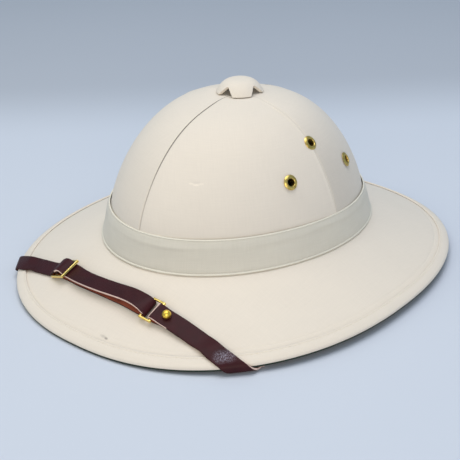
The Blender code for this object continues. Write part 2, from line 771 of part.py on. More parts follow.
def stud_place():
    _, _, to_right = headings()
    row = on_brim(RING_PLACE, to_right, STUD_FROM_RING, 0.0, STUD_ASIDE)
    return row.middle, row.grain


def frame_matrix(origin, heading, lift, tilt=0.0):
    """Lays a buckle's own X along the strap and its Z away from the brim."""
    row = on_brim(origin, heading, 0.0, lift)
    forward = Vector((heading.x, heading.y, 0))
    across = row.grain.cross(forward).normalized()
    forward = across.cross(row.grain)
    turn = Matrix((forward, across, row.grain)).transposed().to_4x4()
    return Matrix.Translation(row.middle) @ turn @ Matrix.Rotation(-tilt, 4, "Y")


def buckle(name, pitch, windows, matrix):
    """A flat brass frame: bars across the strap, a pitch apart, joined by two sides."""
    length = 2 * pitch + BAR
    frame = block(name, (length, 2 * FRAME_HALF_WIDTH, BAR), (0, 0, 0))
    for collection in list(frame.users_collection):
        collection.objects.unlink(frame)
    PARTS.objects.link(frame)
    frame.data.materials.append(MATERIALS["gold_brass"])
    for i, (middle, clear) in enumerate(windows):
        window = block(f"{name}_window_{i}", (clear, 2 * (FRAME_HALF_WIDTH - FRAME_SIDE), 4 * BAR), (middle, 0, 0))
        window.parent = frame
        cut(frame, cutter(window))
    bevel = frame.modifiers.new("soft edges", "BEVEL")
    bevel.width = 0.45 * MM
    bevel.segments = 2
    bevel.limit_method = "ANGLE"
    frame.matrix_world = matrix
    return frame


def make_buckles():
    to_ring, _, _ = headings()
    half = SLIDE_BAR_PITCH / 2
    clear = SLIDE_BAR_PITCH - BAR
    tilt = atan2(SLIDE_LIFTS[1] - SLIDE_LIFTS[0], 2 * SLIDE_BAR_PITCH)
    buckle("slide_buckle", SLIDE_BAR_PITCH, ((-half, clear), (half, clear)),
           frame_matrix(SLIDE_PLACE, to_ring, sum(SLIDE_LIFTS) / 2, tilt))
    tilt = atan2(RING_LIFTS[1] - RING_LIFTS[0], 2 * RING_BAR_PITCH)
    buckle("strap_ring", RING_BAR_PITCH, ((0.0, 2 * RING_BAR_PITCH - BAR),),
           frame_matrix(RING_PLACE, ring_heading(), sum(RING_LIFTS) / 2, tilt))


def make_stud():
    """A ball on a shank that goes through both layers of the short part."""
    seat = 5.0 * MM
    ball_middle = seat + 1.9 * MM
    profile = []
    for degrees in (90, 60, 30, 0, -25):
        turn = radians(degrees)
        profile.append((max(STUD_BALL * cos(turn), 0.0), ball_middle + STUD_BALL * sin(turn)))
    profile[0] = (0.0, ball_middle + STUD_BALL)
    profile += [(STUD_SHANK, seat - 0.1 * MM), (STUD_SHANK, 0.7 * MM), (0.0, 0.7 * MM)]
    stud = turned("ball_stud", profile, "gold_brass", 16, on_axis=True)
    spot, normal = stud_place()
    stud.matrix_world = Matrix.Translation(spot) @ normal.to_track_quat("Z", "Y").to_matrix().to_4x4()


def make_rivets():
    """A head inside the crown, a shank through the leather and into the crown's wall."""
    for side, name in ((1, "strap_rivet_left"), (-1, "strap_rivet_right")):
        spot = rivet_spot(side)
        head_low = -(STRAP_THICK / 2 + GAP)
        wall = wall_point(0.0, (spot.z - foot_height(0.0)) / BAND_HEIGHT)
        tip = wall.x - abs(spot.x) - 0.6 * MM
        profile = [(0.0, tip), (RIVET_SHANK, tip), (RIVET_SHANK, head_low), (RIVET_HEAD, head_low),
                   (RIVET_HEAD, head_low - RIVET_HEAD_THICK), (0.0, head_low - RIVET_HEAD_THICK)]
        rivet = turned(name, profile, "plain_steel", 12, on_axis=True)
        outward = -against_wall(side)
        rivet.matrix_world = (Matrix.Translation(spot)
                              @ outward.to_track_quat("Z", "Y").to_matrix().to_4x4())


# ---------------------------------------------------------------- the helmet
make_shell()
ring_piece("brim_binding", binding_section, "cream_cloth")
ring_piece("underbrim_lining", lining_section, "green_cloth")
ring_piece("hat_band", band_section, "band_cloth")
make_cap()
make_post()
make_eyelets()
make_straps()
make_buckles()
make_stud()
make_rivets()
print("strap lengths, mm:", round(strap_length(long_rows()) / MM), round(strap_length(short_rows()) / MM))
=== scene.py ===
# %% [markdown]
# # A pith helmet in cream cloth
#
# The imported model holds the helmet's solids at their real size. This lesson dresses them, one piece
# at a time, until a picture of the helmet looks like a photograph of one: a pressed crown and brim
# under cotton cloth, a band, a little ventilator, brass eyelets and a leather chin strap that lies
# over the front of the brim.
#
# Everything is in metres, +Z is up, the front of the helmet faces -Y and the wearer's left is +X.

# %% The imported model
from collections import namedtuple
from itertools import accumulate
from math import atan2, cos, degrees, exp, hypot, pi, radians, sin

import bmesh
import bpy
from mathutils import Matrix, Vector, noise


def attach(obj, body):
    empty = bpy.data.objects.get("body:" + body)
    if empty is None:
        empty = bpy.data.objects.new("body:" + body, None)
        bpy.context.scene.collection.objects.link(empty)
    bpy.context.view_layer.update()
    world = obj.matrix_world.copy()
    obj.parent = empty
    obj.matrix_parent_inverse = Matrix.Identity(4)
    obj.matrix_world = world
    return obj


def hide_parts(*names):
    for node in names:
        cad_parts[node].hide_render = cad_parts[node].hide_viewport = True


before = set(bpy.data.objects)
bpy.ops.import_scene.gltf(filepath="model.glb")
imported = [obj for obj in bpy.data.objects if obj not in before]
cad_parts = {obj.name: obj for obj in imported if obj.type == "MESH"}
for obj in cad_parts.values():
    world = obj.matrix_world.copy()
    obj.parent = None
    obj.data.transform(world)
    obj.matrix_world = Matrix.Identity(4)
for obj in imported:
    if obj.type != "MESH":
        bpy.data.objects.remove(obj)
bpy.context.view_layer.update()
MM = 0.001
UP = Vector((0, 0, 1))
ZERO = (0, 0, 0)


def mm(*lengths):
    """A vector whose lengths are written in millimetres."""
    return Vector(lengths) * MM


def turn_to(own_x, own_y, own_z):
    """The turn after which a thing's own axes point along three directions."""
    return Matrix((own_x, own_y, own_z)).transposed().to_4x4()


# %% [markdown]
# ## The camera
#
# The photograph looks down on the helmet's left front from a little under a metre away. A long lens
# keeps the brim from swelling towards us. The camera also leans about two degrees, as a camera held
# by hand does. A camera is an object whose own X points right in the picture, Y up and Z backwards,
# so three directions and a place are all that it needs.

# %% The camera
CAMERA_PLACE = mm(488.4, -573.2, 382.1)
CAMERA_AZIMUTH = radians(40.87)
CAMERA_ELEVATION = radians(25.59)
CAMERA_ROLL = radians(-1.84)
LENS_MM = 82.8
SENSOR_MM = 36

camera = bpy.data.objects.new("camera", bpy.data.cameras.new("camera"))
camera.data.lens = LENS_MM
camera.data.sensor_width = SENSOR_MM
level = Vector((cos(CAMERA_AZIMUTH), sin(CAMERA_AZIMUTH), 0))
back = level.cross(UP) * cos(CAMERA_ELEVATION) + UP * sin(CAMERA_ELEVATION)
upright = back.cross(level)
right = level * cos(CAMERA_ROLL) + upright * sin(CAMERA_ROLL)
over = upright * cos(CAMERA_ROLL) - level * sin(CAMERA_ROLL)
camera.matrix_world = Matrix.Translation(CAMERA_PLACE) @ turn_to(right, over, back)
bpy.context.scene.collection.objects.link(camera)
bpy.context.scene.camera = camera
print("the camera stands", round(CAMERA_PLACE.length, 2), "m away")

# %% [markdown]
# ## The shape of the helmet in a few numbers
#
# Seen from above, a helmet is three ovals inside each other: the top of the band, the foot of the
# crown and the edge of the brim. None is a true ellipse about one centre, because a head is longer
# behind the ears than in front of them. So each oval has a half width, a reach to the front and to
# the rear, and the y of its widest place. The brim is a little squarer than an ellipse, and the
# power says by how much. The solids were made from the same numbers, so the cloth lies on them.

# %% Ovals in plan
Oval = namedtuple("Oval", "half_width front rear centre_y power")
CROWN_TOP_OF_BAND = Oval(88.8 * MM, 112.8 * MM, 103.0 * MM, 7.2 * MM, 2.0)
CROWN_FOOT = Oval(93.6 * MM, 117.0 * MM, 116.4 * MM, 4.1 * MM, 2.0)
BRIM_EDGE = Oval(151.5 * MM, 169.9 * MM, 175.2 * MM, -2.6 * MM, 2.26)
CROWN_AXIS_Y = 4.2 * MM
HALVINGS = 26


def oval_radius(oval, angle):
    """Distance from the crown's axis to an oval, along a plan angle, found by halving."""
    near, far = 0.0, 2 * BRIM_EDGE.rear
    for _ in range(HALVINGS):
        middle = (near + far) / 2
        y = CROWN_AXIS_Y + middle * sin(angle) - oval.centre_y
        reach = oval.front if y < 0 else oval.rear
        share = abs(middle * cos(angle) / oval.half_width) ** oval.power + abs(y / reach) ** oval.power
        near, far = (middle, far) if share < 1 else (near, middle)
    return near


def place(radius, angle, height):
    return Vector((radius * cos(angle), CROWN_AXIS_Y + radius * sin(angle), height))


def ease(share):
    """Goes from 0 to 1 with a soft start and a soft end."""
    share = min(max(share, 0.0), 1.0)
    return share * share * (3 - 2 * share)


def bump(distance, width):
    """1 at distance 0, falling away like a bell; width is where a third is left."""
    return exp(-(distance / width) ** 2)


print("the brim is", round(2 * BRIM_EDGE.half_width / MM), "mm wide")

# %% [markdown]
# ## Crown, wall and brim
#
# The crown is a stack of ovals that shrink towards the top, faster across than lengthwise. Its foot
# rises a little towards the front, and the band sits on the steep wall there. The brim runs from
# the foot to its edge, steepest at the crown, and turns down once more at the edge. Its sides stand
# a few millimetres clear of the table, so that the helmet rests on the front and the back. Each of
# these is a small function from a plan angle and a share of the way to a point in space.

# %% Crown, wall and brim as functions
CROWN_HEIGHT = 133.0 * MM
CROWN_LEAN = 3.0 * MM              # of the top towards the front
SIDE_PROFILE = (1.26, 3.24)        # powers of the crown's curve across, then lengthwise
LONG_PROFILE = (1.30, 2.71)
SUMMIT_DEGREES = 12.0
SUMMIT_RISE = 0.8 * MM             # of the flat under the ventilator above the crown's even curve
SUMMIT_SPREAD = 12.0               # degrees in which that rise fades out
FOOT_HEIGHT = 33.0 * MM
FOOT_FRONT_LIFT = 5.0 * MM
FOOT_SIDE_LIFT = 0.77 * MM
BAND_HEIGHT = 24.4 * MM
EDGE_MIDDLE = 2.5 * MM             # heights on the brim's edge where it is lowest
EDGE_TOP = 3.6 * MM
SHELL_REACH = 1.0 * MM             # of the shell past the middle of its edge
SIDE_RISE = 4.4 * MM               # how far the brim's sides stand clear of the table
RISE_START = 0.12
FLARE = 0.10                       # how much steeper the brim begins at the crown
DROOP = 0.06                       # how much it turns down at its edge
DROOP_POWER = 8
WALL = 2.4 * MM
GAP = 0.3 * MM                     # between pieces that lie on each other


def foot_height(angle):
    return FOOT_HEIGHT + FOOT_SIDE_LIFT * cos(2 * angle) - FOOT_FRONT_LIFT * sin(angle)


def edge_rise(angle):
    return SIDE_RISE * ease((abs(cos(angle)) - RISE_START) / (1 - RISE_START))


def crown_share(degrees):
    """The share of the crown's height at a ring, counted in degrees down from the summit."""
    return max(1 - sin(radians(degrees)) ** SIDE_PROFILE[1], 0.0) ** (1 / SIDE_PROFILE[0])


def crown_oval(share):
    """The crown's ring at a share of the height from the band's top (0) to the summit (1)."""
    across = (1 - share ** SIDE_PROFILE[0]) ** (1 / SIDE_PROFILE[1])
    along = (1 - share ** LONG_PROFILE[0]) ** (1 / LONG_PROFILE[1])
    base = CROWN_TOP_OF_BAND
    return Oval(base.half_width * across, base.front * along, base.rear * along,
                base.centre_y - CROWN_LEAN * (1 - along), base.power)


def crown_point(angle, share):
    start = foot_height(angle) + BAND_HEIGHT
    return place(oval_radius(crown_oval(share), angle), angle, start * (1 - share) + CROWN_HEIGHT * share)


def summit_height():
    """The crown ends in a small flat under the ventilator."""
    start = FOOT_HEIGHT + BAND_HEIGHT
    return start + (CROWN_HEIGHT - start) * crown_share(SUMMIT_DEGREES) + SUMMIT_RISE


def wall_point(angle, height, out=0.0):
    """On the steep wall behind the band, at a height above its foot."""
    share = height / BAND_HEIGHT
    foot, top = oval_radius(CROWN_FOOT, angle), oval_radius(CROWN_TOP_OF_BAND, angle)
    return place(foot + (top - foot) * share + out, angle, foot_height(angle) + height)


def brim_width(angle):
    return oval_radius(BRIM_EDGE, angle) + SHELL_REACH - oval_radius(CROWN_FOOT, angle)


def brim_drop(share):
    """How much of the brim's height is lost at a share of its width."""
    return share + FLARE * share * (1 - share) - DROOP * (share - share ** DROOP_POWER)


def brim_point(angle, share, lift=0.0):
    """On the brim's top from the crown's foot (0) to its rim (1), or lifted off it."""
    inner, width = oval_radius(CROWN_FOOT, angle), brim_width(angle)
    high, low = foot_height(angle), edge_rise(angle) + EDGE_TOP
    step = 0.001
    slope = (high - low) * (brim_drop(share + step) - brim_drop(share - step)) / (2 * step * width)
    stretch = hypot(1, slope)
    return place(inner + width * share + lift * slope / stretch, angle,
                 high - (high - low) * brim_drop(share) + lift / stretch)


print("the crown's summit is at", round(summit_height() / MM, 1), "mm")

# %% [markdown]
# ## Working with rings
#
# Most pieces of a hat run right round it, so one way of modelling serves them all: a circle of
# vertices is laid down with the create_circle operator, its edges are extruded into a new ring, and
# the new ring is moved to its place. Ring after ring, the skin grows down the crown and out along
# the brim. A ring can be closed with a face, or bridged to the first one, which makes a hoop.

# %% Rings
def first_ring(mesh, spots):
    ring = bmesh.ops.create_circle(mesh, segments=len(spots), radius=1.0)["verts"]
    for vert, spot in zip(ring, spots):
        vert.co = spot
    return ring


def ring_edges(mesh, ring):
    return [mesh.edges.get(pair) for pair in zip(ring, ring[1:] + ring[:1])]


def next_ring(mesh, ring, spots):
    """Extrudes a ring and moves what was extruded to its spots, in the same order."""
    made = bmesh.ops.extrude_edge_only(mesh, edges=ring_edges(mesh, ring))["geom"]
    fresh = {item for item in made if isinstance(item, bmesh.types.BMVert)}
    following = [next(edge.other_vert(vert) for edge in vert.link_edges if edge.other_vert(vert) in fresh)
                 for vert in ring]
    for vert, spot in zip(following, spots):
        vert.co = spot
    return following


def grow(mesh, rows):
    """A skin over rows of spots; returns its rings of vertices."""
    rings = [first_ring(mesh, rows[0])]
    for spots in rows[1:]:
        rings.append(next_ring(mesh, rings[-1], spots))
    return rings


def close(mesh, ring):
    return bmesh.ops.edgeloop_fill(mesh, edges=ring_edges(mesh, ring))["faces"]


def join_ends(mesh, rings):
    """Turns a sleeve into a closed hoop."""
    edges = ring_edges(mesh, rings[-1]) + ring_edges(mesh, rings[0])
    return bmesh.ops.bridge_loops(mesh, edges=edges)["faces"]


def addresses(rings):
    """The (row, column) of every vertex in a grid of rings."""
    return {vert: (row, column) for row, ring in enumerate(rings) for column, vert in enumerate(ring)}


def lengths_along(spots):
    """How far it is to each point of a line, along the line."""
    return list(accumulate(((after - spot).length for spot, after in zip(spots, spots[1:])), initial=0.0))


print("rings: circle, extrude, close, bridge")

# %% [markdown]
# ## Where cloth lies, and which way its threads run
#
# A pattern such as a weave follows the cloth, not the room. So each piece gets a UV map in real
# metres: one unit of U or V is one metre of cloth. The shader can then be told that a thread is
# half a millimetre thick, and the weave has the right size on every piece. A face that crosses the
# place where the count of columns starts again takes its coordinates from the far side of the seam.

# %% A UV map in metres
def lay_uv(mesh, rings, cloth_at, wraps=True):
    """cloth_at(row, column) gives the UV of a grid vertex; column may be one past the last."""
    layer = mesh.loops.layers.uv.new("cloth")
    address = addresses(rings)
    columns, rows = len(rings[0]), len(rings)
    for face in mesh.faces:
        of_rows, of_columns = zip(*(address[vert] for vert in face.verts))
        wrapped = wraps and max(of_columns) - min(of_columns) > columns / 2
        ends = max(of_rows) - min(of_rows) > rows / 2
        for loop, row, column in zip(face.loops, of_rows, of_columns):
            column += columns if wrapped and column < columns / 2 else 0
            row += rows if ends and row < rows / 2 else 0
            loop[layer].uv = cloth_at(row, column)


def new_object(name, mesh):
    """Hands a bmesh over to an object in the scene."""
    data = bpy.data.meshes.new(name)
    mesh.to_mesh(data)
    mesh.free()
    made = bpy.data.objects.new(name, data)
    bpy.context.scene.collection.objects.link(made)
    return made


def finish_piece(name, mesh, materials, smooth_angle=40):
    """Turns a bmesh into an object that rides on the helmet."""
    bmesh.ops.recalc_face_normals(mesh, faces=mesh.faces)
    piece = new_object(name, mesh)
    for look in materials:
        piece.data.materials.append(look)
    round_look(piece, smooth_angle)
    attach(piece, "root")
    print(name, "has", len(piece.data.polygons), "faces")
    return piece


def round_look(piece, sharp_from):
    """Shades a piece smooth, except where two faces meet at more than so many degrees."""
    piece.data.shade_smooth()
    piece.data.set_sharp_from_angle(angle=radians(sharp_from))


def add_modifier(piece, name, kind, **settings):
    made = piece.modifiers.new(name, kind)
    for key, value in settings.items():
        setattr(made, key, value)


def settle(piece):
    """Makes the shape that the modifiers give the piece's own mesh."""
    graph = bpy.context.evaluated_depsgraph_get()
    shape = bpy.data.meshes.new_from_object(piece.evaluated_get(graph))
    piece.modifiers.clear()
    piece.data = shape
    print(piece.name, "is now", len(shape.polygons), "faces")

# %% [markdown]
# ## Finishes from shared effects
#
# Cloth, leather and brass look different, but the same few effects make them: threads, uneven
# threads, soft stains, grain and wear. Each effect is a node group with named inputs, built once. A
# material then adds its own colour and its own strength. Only what changes over the surface passes
# through a link; a value that is the same everywhere is set on the shader itself.

# %% Building node groups
def set_inputs(tree, node, inputs):
    """Links or sets a node's inputs by name or number."""
    for key, value in inputs.items():
        if isinstance(value, bpy.types.NodeSocket):
            tree.links.new(value, node.inputs[key])
        else:
            node.inputs[key].default_value = value


def add_node(tree, kind, inputs=None, **settings):
    made = tree.nodes.new("ShaderNode" + kind)
    for key, value in settings.items():
        setattr(made, key, value)
    set_inputs(tree, made, inputs or {})
    return made


def calculate(tree, operation, *values):
    return add_node(tree, "Math", dict(enumerate(values)), operation=operation).outputs[0]


def calculate_vector(tree, operation, *values):
    """A number that is linked to a vector counts for all three of its parts."""
    made = add_node(tree, "VectorMath", dict(enumerate(values)), operation=operation)
    return made.outputs["Value" if operation in ("LENGTH", "DOT_PRODUCT") else "Vector"]


def add_noise(tree, where, scale, detail):
    return add_node(tree, "TexNoise", {"Vector": where, "Scale": scale, "Detail": detail}).outputs[0]


def map_range(tree, value, low, high, at_low=0.0, at_high=1.0, **settings):
    """Turns the values from low to high into the values from at_low to at_high."""
    return add_node(tree, "MapRange", {"Value": value, "From Min": low, "From Max": high,
                                       "To Min": at_low, "To Max": at_high}, **settings).outputs[0]


def new_group(name, inputs, outputs):
    """An empty effect; its inputs are numbers or vectors with their values, its outputs are numbers."""
    tree = bpy.data.node_groups.new(name, "ShaderNodeTree")
    for socket, value in inputs.items():
        kind = "NodeSocketFloat" if isinstance(value, float) else "NodeSocketVector"
        tree.interface.new_socket(socket, in_out="INPUT", socket_type=kind).default_value = value
    for socket in outputs:
        tree.interface.new_socket(socket, in_out="OUTPUT", socket_type="NodeSocketFloat")
    return tree, tree.nodes.new("NodeGroupInput").outputs, tree.nodes.new("NodeGroupOutput").inputs


def use_group(tree, group, inputs):
    return add_node(tree, "Group", inputs, node_tree=group).outputs


def linear(channel):
    """A colour channel as a picture stores it, from 0 to 255, as the value that a shader takes."""
    share = channel / 255
    return share / 12.92 if share <= 0.04045 else ((share + 0.055) / 1.055) ** 2.4


def colour(red, green, blue):
    return (linear(red), linear(green), linear(blue), 1)


# %% [markdown]
# ### Threads
#
# Cotton drill is woven from threads half a millimetre apart. Two sine waves at right angles,
# multiplied, give the little pillows of a plain weave. One wave along the diagonal gives the ribs
# of a twill. The group mixes the two, and puts out a height for the Bump node.

# %% The woven threads group
def make_threads():
    tree, given, result = new_group("woven_threads", {"Cloth": ZERO, "Pitch": 0.5 * MM, "Twill": 0.0},
                                    ["Height"])
    spot = add_node(tree, "SeparateXYZ", {0: given["Cloth"]}).outputs
    turns = [calculate(tree, "DIVIDE", calculate(tree, "MULTIPLY", spot[axis], 2 * pi), given["Pitch"])
             for axis in (0, 1)]
    waves = [calculate(tree, "SINE", turn) for turn in turns]
    plain = calculate(tree, "MULTIPLY", waves[0], waves[1])
    rib = calculate(tree, "SINE", calculate(tree, "MULTIPLY", calculate(tree, "ADD", *turns), 0.5))
    mixed = add_node(tree, "Mix", {0: given["Twill"], 2: plain, 3: rib}, data_type="FLOAT")
    tree.links.new(calculate(tree, "MULTIPLY_ADD", mixed.outputs[0], 0.5, 0.5), result["Height"])
    return tree


THREADS = make_threads()

# %% [markdown]
# ### Uneven threads and soft stains
#
# Cotton yarn is thicker here and thinner there. Noise that is stretched a long way along the thread
# and hardly across it gives those slubs, once along the cloth and once across. The second group is
# plain noise at the size of a hand's touch, for the cloudy tone that pressed and steamed cloth has.

# %% The slub and cloud groups
def make_slubs():
    tree, given, result = new_group("thread_slubs", {"Cloth": ZERO, "Width": 0.9 * MM, "Length": 14.0 * MM},
                                    ["Shade"])
    fine = calculate(tree, "DIVIDE", 1.0, given["Width"])
    long = calculate(tree, "DIVIDE", 1.0, given["Length"])
    shades = []
    for x, y in ((fine, long), (long, fine)):
        stretch = add_node(tree, "CombineXYZ", {0: x, 1: y}).outputs[0]
        where = calculate_vector(tree, "MULTIPLY", given["Cloth"], stretch)
        shades.append(calculate(tree, "SUBTRACT", add_noise(tree, where, 1.0, 1.5), 0.5))
    tree.links.new(calculate(tree, "ADD", *shades), result["Shade"])
    return tree


def make_clouds():
    tree, given, result = new_group("soft_clouds", {"Place": ZERO, "Size": 30.0 * MM}, ["Shade"])
    scale = calculate(tree, "DIVIDE", 1.0, given["Size"])
    grain = add_noise(tree, given["Place"], scale, 3.0)
    tree.links.new(calculate(tree, "SUBTRACT", grain, 0.5), result["Shade"])
    return tree


SLUBS = make_slubs()
CLOUDS = make_clouds()

# %% [markdown]
# ### Marks
#
# A mask that is 1 near a place on the piece and fades away from it lets a material change in one
# spot: here a rub mark on the brim, the painted highlight and shade of a small curved crease on the
# crown, and painted glints on a patch of the strap. It reads the piece's own coordinates, so the
# mark stays where it is from every side.

# %% The spot group
def make_spot():
    tree, given, result = new_group("round_spot", {"Place": ZERO, "Middle": ZERO, "Half Size": (1, 1, 1)},
                                    ["Mask"])
    away = calculate_vector(tree, "SUBTRACT", given["Place"], given["Middle"])
    length = calculate_vector(tree, "LENGTH", calculate_vector(tree, "DIVIDE", away, given["Half Size"]))
    fade = map_range(tree, length, 0.3, 1.0, 1.0, 0.0, interpolation_type="SMOOTHSTEP")
    tree.links.new(fade, result["Mask"])
    return tree


SPOT = make_spot()


def spot_mask(tree, where, middle, half_size):
    return use_group(tree, SPOT, {"Place": where, "Middle": middle, "Half Size": half_size})["Mask"]

# %% [markdown]
# ### Cotton cloth
#
# The cover, the band and the lining are cotton, and pressed fibre differs from it only in its
# numbers. So one function makes them all: a colour, shaded by slubs and clouds, a rough surface
# with the faint halo of loose fibres that the shader calls sheen, and the threads as a bump. The
# cover is a plain weave, and the band is a heavier twill.

# %% Making cotton
def new_material(name, roughness, metallic=0.0):
    made = bpy.data.materials.new(name)
    made.use_nodes = True
    shader = made.node_tree.nodes["Principled BSDF"]
    set_inputs(made.node_tree, shader, {"Roughness": roughness, "Metallic": metallic})
    return made, made.node_tree, shader


def shade(tree, base, strengths):
    """base, made lighter or darker by each (shade, strength)."""
    factor = 1.0
    for amount, strength in strengths:
        factor = calculate(tree, "MULTIPLY_ADD", amount, strength, factor)
    return calculate_vector(tree, "MULTIPLY", base[:3], factor)


def add_bump(tree, height, strength, distance):
    return add_node(tree, "Bump", {"Height": height, "Strength": strength, "Distance": distance}).outputs[0]


def make_cotton(name, base, pitch=0.5 * MM, twill=0.0, relief=0.05 * MM, slub=0.05, cloud=0.035, sheen=0.2,
                tone=None, marks=()):
    """tone: a mesh attribute that lightens or darkens whole panels and paints shade into the seams' grooves;
    marks: (middle, half size, strength).
    """
    made, tree, shader = new_material(name, 0.92)
    where = add_node(tree, "TexCoord").outputs
    threads = use_group(tree, THREADS, {"Cloth": where["UV"], "Pitch": pitch, "Twill": twill})["Height"]
    slubs = use_group(tree, SLUBS, {"Cloth": where["UV"]})["Shade"]
    clouds = use_group(tree, CLOUDS, {"Place": where["Object"]})["Shade"]
    strengths = [(slubs, slub), (clouds, cloud)]
    if tone:
        strengths.append((add_node(tree, "Attribute", attribute_name=tone).outputs["Fac"], 1.0))
    strengths += [(spot_mask(tree, where["Object"], middle, half), strength)
                  for middle, half, strength in marks]
    height = calculate(tree, "MULTIPLY_ADD", slubs, 0.4, threads)
    set_inputs(tree, shader, {
        "Base Color": shade(tree, base, strengths), "Normal": add_bump(tree, height, 0.5, relief),
        "Sheen Weight": sheen, "Sheen Roughness": 0.6, "Specular IOR Level": 0.25})
    return made


RUB_MARKS = (
    (mm(17.6, -163.9, 10.6), mm(4.6, 1.5, 4.0), -0.22),
    (mm(20.6, -164.3, 10.3), mm(2.2, 1.2, 4.0), -0.5),
)
# a crease in the crown's cloth, painted as light and shade rather than modelled: painted highlight on its lip,
# painted shade above it
PAINTED_CREASE = (                         # three marks are the fold's lit lip, the last one is the shade above it
    (mm(28.2, -80.9, 95.9), mm(2.6, 2.6, 0.9), 0.1),
    (mm(31.6, -79.6, 95.2), mm(3.4, 3.4, 0.9), 0.12),
    (mm(34.3, -77.2, 95.8), mm(2.6, 2.6, 0.9), 0.08),
    (mm(31.2, -79.4, 96.7), mm(4.6, 4.6, 1.1), -0.06),
)
CREAM_COTTON = make_cotton("cream_cotton", colour(228, 219, 206), tone="panel_tone_and_groove_shade", marks=RUB_MARKS + PAINTED_CREASE)
BAND_TWILL = make_cotton("band_twill", colour(213, 208, 195), pitch=0.7 * MM, twill=0.8, relief=0.07 * MM,
                         slub=0.08, cloud=0.08)
PIPING_COTTON = make_cotton("piping_cotton", colour(226, 222, 208), pitch=0.4 * MM)
GREEN_COTTON = make_cotton("green_cotton", colour(34, 48, 40), cloud=0.12, sheen=0.1)
THREAD_COTTON = make_cotton("sewing_thread", colour(226, 218, 202), pitch=0.3 * MM, slub=0.02)
PRESSED_FIBRE = make_cotton("pressed_fibre", colour(196, 184, 160), pitch=0.9 * MM, relief=0.12 * MM,
                            slub=0.12, cloud=0.15, sheen=0.05)
print("five cottons and a pressed fibre")

# %% [markdown]
# ### Leather
#
# A strap has more than one look. The grain side is dyed deep burgundy and polished, with fine pores
# and pebbles, and glints are painted on one patch of it. The flesh side is rust red and fibrous. A
# cut edge shows the pale middle of the hide; elsewhere the edges are painted dark, for dirt and for
# the shade they lie in. Each is a material of its own, and each face of the strap picks one.

# %% The pebble group
def make_pebbles():
    tree, given, result = new_group("leather_pebbles", {"Place": ZERO, "Size": 0.9 * MM}, ["Height", "Crease"])
    scale = calculate(tree, "DIVIDE", 1.0, given["Size"])
    cells = add_node(tree, "TexVoronoi", {"Vector": given["Place"], "Scale": scale}, feature="DISTANCE_TO_EDGE")
    crease = map_range(tree, cells.outputs[0], 0.0, 0.12)
    fine = add_noise(tree, given["Place"], scale, 4.0)
    tree.links.new(calculate(tree, "MULTIPLY_ADD", fine, 0.6, crease), result["Height"])
    tree.links.new(crease, result["Crease"])
    return tree


PEBBLES = make_pebbles()
# painted glints: where they sit on the short part, how far they reach and their pale bluish tint
PAINTED_GLINT_SPOTS = (mm(99.5, -137.8, 11.5), mm(103.5, -133.4, 11.9))
PAINTED_GLINT_HALF = mm(6.5, 6.5, 6.0)
PAINTED_GLINT_TINT = colour(150, 152, 168)
GLINT_SCALE = 1500.0


def make_leather(name, base, roughness, pebble, relief, cloud, coat, painted_glint=0.0):
    """The last number says how strongly glints are painted into the colour on a patch where the strap bends
    over the rim.
    """
    made, tree, shader = new_material(name, roughness)
    where = add_node(tree, "TexCoord").outputs
    pebbles = use_group(tree, PEBBLES, {"Place": where["Object"], "Size": pebble})
    clouds = use_group(tree, CLOUDS, {"Place": where["Object"], "Size": 9 * MM})["Shade"]
    wear_and_sheen = shade(tree, base, [(clouds, cloud), (pebbles["Crease"], 0.12)])
    # painted highlight: pale bluish glints added to the grain's colour on that patch
    if painted_glint:
        masks = [spot_mask(tree, where["Object"], middle, PAINTED_GLINT_HALF) for middle in PAINTED_GLINT_SPOTS]
        glints = map_range(tree, add_noise(tree, where["Object"], GLINT_SCALE, 4.0), 0.42, 0.72)
        glints = calculate(tree, "MULTIPLY", glints, calculate(tree, "ADD", *masks))
        glints = calculate(tree, "MULTIPLY", glints, painted_glint)
        wear_and_sheen = calculate_vector(tree, "MULTIPLY_ADD", PAINTED_GLINT_TINT[:3], glints, wear_and_sheen)
    set_inputs(tree, shader, {
        "Base Color": wear_and_sheen, "Roughness": calculate(tree, "MULTIPLY_ADD", clouds, 0.25, roughness),
        "Normal": add_bump(tree, pebbles["Height"], 0.6, relief),
        "Specular IOR Level": 0.14, "Coat Weight": coat, "Coat Roughness": 0.25})
    return made


GRAIN_SIDE = make_leather("leather_grain_side", colour(54, 20, 25), 0.5, 0.9 * MM, 0.06 * MM, 1.0, 0.03, 0.75)
FLESH_SIDE = make_leather("leather_flesh_side", colour(150, 82, 62), 0.85, 0.5 * MM, 0.15 * MM, 0.9, 0.0)
CUT_EDGE = make_leather("leather_cut_edge", colour(216, 190, 180), 0.8, 0.6 * MM, 0.08 * MM, 0.4, 0.0)
# dark edges: partly dirt, partly painted shade on edges that lie in shadow
DIRTY_EDGE_IN_PAINTED_SHADE = make_leather("leather_dyed_edge", colour(58, 34, 34), 0.7, 0.6 * MM, 0.08 * MM, 0.4, 0.0)
print("leather: grain side, flesh side, cut edge and edge in dirt and painted shade")

# %% [markdown]
# ### Brass
#
# Brass fittings are polished, then lacquered. Their colour is the metal's own, a warm gold, and
# what makes them look real is unevenness: faint swirls in the polish, and a browner film of tarnish
# in patches. Steel for the hidden fixings is made the same way in grey.

# %% Making metal
def make_metal(name, base, tarnish, roughness, film):
    made, tree, shader = new_material(name, roughness, metallic=1.0)
    where = add_node(tree, "TexCoord").outputs["Object"]
    clouds = use_group(tree, CLOUDS, {"Place": where, "Size": 2.5 * MM})["Shade"]
    patches = map_range(tree, clouds, -0.05, 0.3, at_high=film)
    mixed = add_node(tree, "Mix", {0: patches, 6: base, 7: tarnish}, data_type="RGBA")
    set_inputs(tree, shader, {"Base Color": mixed.outputs[2],
                              "Roughness": calculate(tree, "MULTIPLY_ADD", patches, 0.4, roughness)})
    return made


